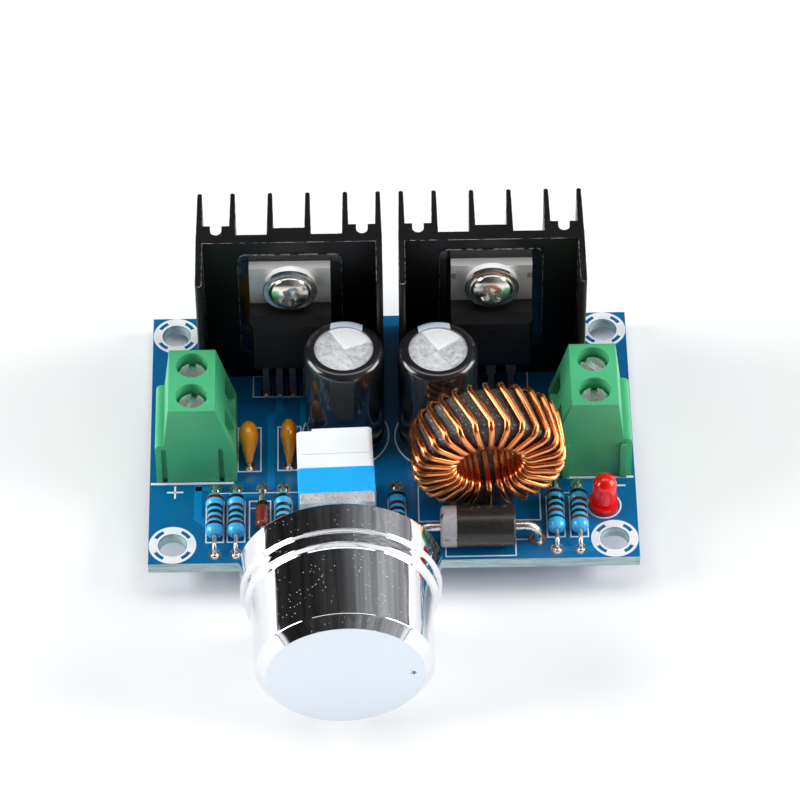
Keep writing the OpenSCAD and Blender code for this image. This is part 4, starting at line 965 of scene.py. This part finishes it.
track_mask = finish("track_mask", (0.003, 0.21, 0.50), rough=(0.16, 0.26), tone=0.12, grain=200, bump=0.15,
                    depth=0.02, coat=0.25)
tracks = []
tracks += path([(-15.25, -8.2), (-15.25, 3.06), (-14.17, 4.54), (-14.17, 10.0)], 0.97)
tracks += path([(-11.2, 10.0), (-11.2, 1.9), (-12.2, 1.2)], 0.8)
tracks += path([(-24.42, -7.6), (-24.42, -13.1), (-23.5, -14.1)], 0.96)
tracks += path([(-22.3, -8.4), (-24.4, -8.4)], 0.7)
tracks += path([(-19.6, -8.5), (-18.6, -9.6), (-17.2, -9.6)], 0.7)
tracks += path([(20.3, -8.5), (20.3, -5.2), (18.9, -3.8), (18.9, 3.0)], 0.9)
tracks += path([(-19.6, -19.05), (-13.7, -19.05), (-12.4, -17.8)], 0.7)
tracks += path([(20.3, -19.05), (24.5, -19.05)], 0.8)
tracks_piece = join_as(tracks, "tracks", track_mask)
print("tracks:", len(tracks_piece.data.polygons), "faces")

# %% [markdown]
# ## White print
# The print shows where each part goes: frames for the resistors, rings for the capacitors, a
# dashed ring round every mounting hole, plus and minus at the terminals. It is a paint layer two
# hundredths of a millimetre thick. Names and values are left out and their places stay bare.
# Text objects could carry lettering; a plain frame and a cross are all that is used.
# %% Print finish and frames
print_white = finish("print_white", (0.86, 0.89, 0.92), rough=(0.42, 0.55), tone=0.06, grain=1500, bump=0.3,
                     depth=0.02)
LAYER = dict(base=0.0, height=0.045)
marks = []
marks += path([(-30.2, -7.5), (-20.1, -7.5)], 0.34, **LAYER)
marks += path([(22.0, -7.5), (30.1, -7.5)], 0.34, **LAYER)
marks += path([(-28.2, -8.92), (-26.4, -8.92)], 0.24, **LAYER)
marks += path([(-27.3, -9.8), (-27.3, -8.04)], 0.24, **LAYER)
marks += path([(28.15, -8.92), (29.1, -8.92)], 0.24, **LAYER)


def middle_of(name):
    low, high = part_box(name)
    return (low.x + high.x) / 2 / MM, (low.y + high.y) / 2 / MM


for number in range(1, 7):
    x, y = middle_of(f"resistor_{number}")
    marks += box_outline(x - 1.12, -17.15, x + 1.05, -10.65, 0.17, **LAYER)
marks += path([(-22.0, -9.2), (-2.15, -9.2), (-2.15, -20.2)], 0.12, **LAYER)
marks += path([(20.6, -9.98), (22.9, -9.98)], 0.12, **LAYER)
marks += box_outline(-17.95, -16.6, -15.31, -10.57, 0.17, **LAYER)
marks += path([(-17.95, -11.72), (-15.31, -11.72)], 0.17, **LAYER)
marks += path([(-16.65, -9.7), (-16.65, -10.5)], 0.2, **LAYER)
marks += box_outline(-19.42, -5.65, -16.55, 1.6, 0.17, **LAYER)
marks += box_outline(-14.4, -5.55, -11.5, 1.7, 0.17, **LAYER)
marks += box_outline(6.45, -20.0, 15.15, -14.35, 0.17, **LAYER)
marks += path([(15.2, -17.42), (16.6, -17.42)], 0.17, **LAYER)
marks += box_outline(3.2, -14.3, 18.4, -6.6, 0.17, **LAYER)
marks += path([(-17.54, 10.9), (-17.54, 6.8), (-11.09, 6.75)], 0.17, **LAYER)
marks += path([(-17.5, 10.39), (-16.5, 10.39)], 0.17, **LAYER)
marks += path([(17.5, 10.9), (17.5, 6.8), (8.2, 6.75)], 0.17, **LAYER)
for side in ("left", "right"):
    marks.append(band(middle_of(f"capacitor_{side}_can"), 5.38, 5.56, **LAYER))
lamp_place = middle_of("lamp_lens")
marks.append(band((26.38, -12.1), 2.0, 2.2, **LAYER))
print("marks so far:", len(marks), "lamp at", [round(c, 2) for c in lamp_place])


# %% Dashed rings round the mounting holes
def dashed_ring(centre):
    inner = band(centre, 1.82, 2.12, **LAYER)
    outer = band(centre, 2.62, 2.95, **LAYER)
    middle = band(centre, 2.10, 2.64, **LAYER)
    mesh = middle.data
    deselect()
    middle.select_set(True)
    bpy.context.view_layer.objects.active = middle
    for face in mesh.polygons:
        angle = math.degrees(math.atan2(face.center.y / MM - centre[1], face.center.x / MM - centre[0]))
        face.select = abs(angle % 90 - 45) < 19
    bpy.ops.object.mode_set(mode="EDIT")
    bpy.ops.mesh.delete(type="FACE")
    bpy.ops.object.mode_set(mode="OBJECT")
    return [inner, outer, middle]


for x in (-27.5, 27.5):
    for y in (-17.5, 17.5):
        marks += dashed_ring((x, y))
print_piece = join_as(marks, "print", print_white)
print("print:", len(print_piece.data.polygons), "faces")

# %% [markdown]
# ## Pads
# Every lead goes through a tinned ring. Solder has crept up a little round the wire, so each ring
# ends in a small shining cone. The places are not typed in: they are read from the solder joints of
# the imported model, one group of joined points for each.
# %% Where the leads pass through the board
def groups_of(name):
    mesh = NODES[name].data
    near = {}
    parent = list(range(len(mesh.vertices)))

    def root(i):
        while parent[i] != i:
            parent[i] = parent[parent[i]]
            i = parent[i]
        return i

    for v in mesh.vertices:
        key = tuple(round(c / MM, 3) for c in v.co)
        if key in near:
            parent[root(v.index)] = root(near[key])
        near[key] = v.index
    for face in mesh.polygons:
        ring = list(face.vertices)
        for a, b in zip(ring, ring[1:]):
            parent[root(a)] = root(b)
    groups = {}
    for v in mesh.vertices:
        groups.setdefault(root(v.index), []).append(v.co)
    return list(groups.values())


joints_found = []
for points in groups_of("solder_joints"):
    xs, ys = [p.x / MM for p in points], [p.y / MM for p in points]
    joints_found.append(((min(xs) + max(xs)) / 2, (min(ys) + max(ys)) / 2, (max(xs) - min(xs)) / 2))
print("leads through the board:", len(joints_found))


# %% One pad, copied to every lead
def make_pad():
    deselect()
    bpy.ops.mesh.primitive_circle_add(vertices=28, radius=1.0 * MM, fill_type="NGON", location=(0, 0, 0))
    pad = bpy.context.object
    bpy.ops.object.mode_set(mode="EDIT")
    bpy.ops.mesh.select_all(action="SELECT")
    bpy.ops.mesh.extrude_region_move(TRANSFORM_OT_translate={"value": (0, 0, 0.04 * MM)})
    for thickness, depth in ((0.16, 0.0), (0.14, -0.03), (0.12, 0.05), (0.22, 0.16)):
        bpy.ops.mesh.inset(thickness=thickness * MM, depth=depth * MM)
    bpy.ops.mesh.select_all(action="SELECT")
    bpy.ops.mesh.normals_make_consistent(inside=False)
    bpy.ops.object.mode_set(mode="OBJECT")
    bpy.ops.object.shade_smooth_by_angle(angle=math.radians(50))
    return pad


PAD_LIMIT_X, PAD_LIMIT_Y = 30, 20.2
pad_model = make_pad()
pads = []
for x, y, radius in joints_found:
    if abs(y) > PAD_LIMIT_Y or abs(x) > PAD_LIMIT_X:
        continue
    mesh = pad_model.data.copy()
    size = min(1.0, radius / 1.0)
    mesh.transform(Matrix.Translation(Vector((x, y, TOP)) * MM) @ Matrix.Diagonal((size, size, 1, 1)))
    copy = bpy.data.objects.new("pad", mesh)
    bpy.context.scene.collection.objects.link(copy)
    pads.append(copy)
bpy.data.objects.remove(pad_model)
pads_piece = join_as(pads, "pads", solder)
print("pads:", len(pads), "with", len(pads_piece.data.polygons), "faces")

# %% [markdown]
# ## Square corners of the device tabs
# A stamped tab has sharp square corners at its free end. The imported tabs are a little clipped
# there, so a copy of each gets its top corners pulled out to the full width. Drawing a new tab
# would mean drawing its hole and notches again.
# %% Pull the top corners out
def square_tab(name):
    piece = smooth_copy(name, f"{name}_square", 30)
    low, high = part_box(name)
    middle, half = (low.x + high.x) / 2, (high.x - low.x) / 2
    clipped = [abs(v.co.x - middle) for v in piece.data.vertices if high.z - v.co.z < 0.02 * MM]
    choose_points(piece, lambda point: high.z - point.z < 0.02 * MM)
    bpy.ops.transform.resize(value=(half / max(clipped), 1, 1), center_override=(middle, 0, 0))
    bpy.ops.mesh.select_all(action="SELECT")
    bpy.ops.mesh.dissolve_limited(angle_limit=math.radians(0.5))
    close_piece()
    deselect()
    return clothe(piece, tab_metal)


for name in ("regulator_tab", "rectifier_tab"):
    made = square_tab(name)
    print(made.name, len(made.data.polygons), "faces")

# %% [markdown]
# ## Heads of the tab screws
# The two screws that hold the devices have a low domed head with a cross recess. A dome is half a
# ball, flattened. The recess is cut with a tapered cross, made of two crossed wedges, so that its
# walls slope as a driver's tip does. A dark painted cross would be quicker but flat, and a shiny
# head shows at once that it is not cut.
# %% Cutter for the cross
def wedge(width, length, depth, taper):
    deselect()
    bpy.ops.mesh.primitive_cube_add(size=1, location=(0, 0, 0))
    piece = bpy.context.object
    piece.scale = (length * MM, width * MM, depth * MM)
    bpy.ops.object.transform_apply(location=True, rotation=True, scale=True)
    choose_points(piece, lambda point: point.z < 0)
    bpy.ops.transform.resize(value=(taper, taper, 1), center_override=(0, 0, -depth * MM / 2))
    close_piece()
    return piece


# %% Domed heads
HEAD_TALL = 1.2
RECESS_RISE = 0.1


def dome(place, radius, tall, turn):
    deselect()
    bpy.ops.mesh.primitive_uv_sphere_add(segments=48, ring_count=24, radius=radius * MM, location=(0, 0, 0))
    piece = bpy.context.object
    piece.scale = (1, 1, tall / radius)
    bpy.ops.object.transform_apply(location=True, rotation=True, scale=True)
    bpy.ops.object.mode_set(mode="EDIT")
    bpy.ops.mesh.select_all(action="SELECT")
    bpy.ops.mesh.bisect(plane_co=(0, 0, 0.02 * MM), plane_no=(0, 0, 1), use_fill=True, clear_inner=True)
    bpy.ops.object.mode_set(mode="OBJECT")
    for quarter in (0, 1):
        cutter = wedge(width=1.3, length=4.4, depth=1.6, taper=0.4)
        cutter.data.transform(Matrix.Translation((0, 0, (tall - RECESS_RISE) * MM)) @
                              Matrix.Rotation(turn + quarter * math.pi / 2, 4, "Z"))
        deselect()
        piece.select_set(True)
        bpy.context.view_layer.objects.active = piece
        cut = piece.modifiers.new("recess", "BOOLEAN")
        cut.operation = "DIFFERENCE"
        cut.object = cutter
        cut.solver = "EXACT"
        bpy.ops.object.modifier_apply(modifier=cut.name)
        bpy.data.objects.remove(cutter)
    piece.data.transform(Matrix.Translation(place) @ Matrix.Rotation(math.radians(90), 4, "X"))
    return piece


screws = smooth_copy("tab_screws", "tab_screws_domed", 35)
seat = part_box("tab_washers")[0].y
heads = []
for points in groups_of("tab_screws"):
    low_x, high_x = min(p.x for p in points), max(p.x for p in points)
    low_z, high_z = min(p.z for p in points), max(p.z for p in points)
    heads.append(Vector(((low_x + high_x) / 2, seat, (low_z + high_z) / 2)))
head_radius = (high_x - low_x) / 2 / MM
print("screw heads at", [[round(c / MM, 2) for c in h] for h in heads], "radius", round(head_radius, 2))
print("head points:", choose_points(screws, lambda point: point.y < seat - 0.02 * MM))
bpy.ops.transform.resize(value=(1, 0.1, 1), center_override=(0, seat, 0))
close_piece()
domes = [dome(h, head_radius - 0.06, HEAD_TALL, turn) for h, turn in zip(heads, (0.35, 0.62))]
deselect()
for piece in domes:
    piece.select_set(True)
screws.select_set(True)
bpy.context.view_layer.objects.active = screws
bpy.ops.object.join()
bpy.ops.object.shade_smooth_by_angle(angle=math.radians(35))
deselect()
clothe(screws, screw_steel)
print("tab screws:", len(screws.data.polygons), "faces")

# %% [markdown]
# ## Clamp screws of the terminals
# The four clamp screws stand a little below the mouths of their wells, where the light still
# reaches their slots. A copy of each imported screw is lifted by less than a millimetre for that; a
# brighter metal alone would not make the slot show.
# %% Lift the clamp screws
SCREW_LIFT = 0.65
for side in ("left", "right"):
    for row in ("front", "rear"):
        raised = smooth_copy(f"terminal_{side}_screw_{row}", f"clamp_screw_{side}_{row}", 30)
        choose_points(raised, lambda point: True)
        bpy.ops.transform.translate(value=(0, 0, SCREW_LIFT * MM))
        close_piece()
        deselect()
        clothe(raised, clamp_steel)
print("clamp screws lifted")

# %% [markdown]
# ## Finish
# The size is written once more, now with everything that was added, and the script ends.
# %% Finish
print("size in mm:", write_size())
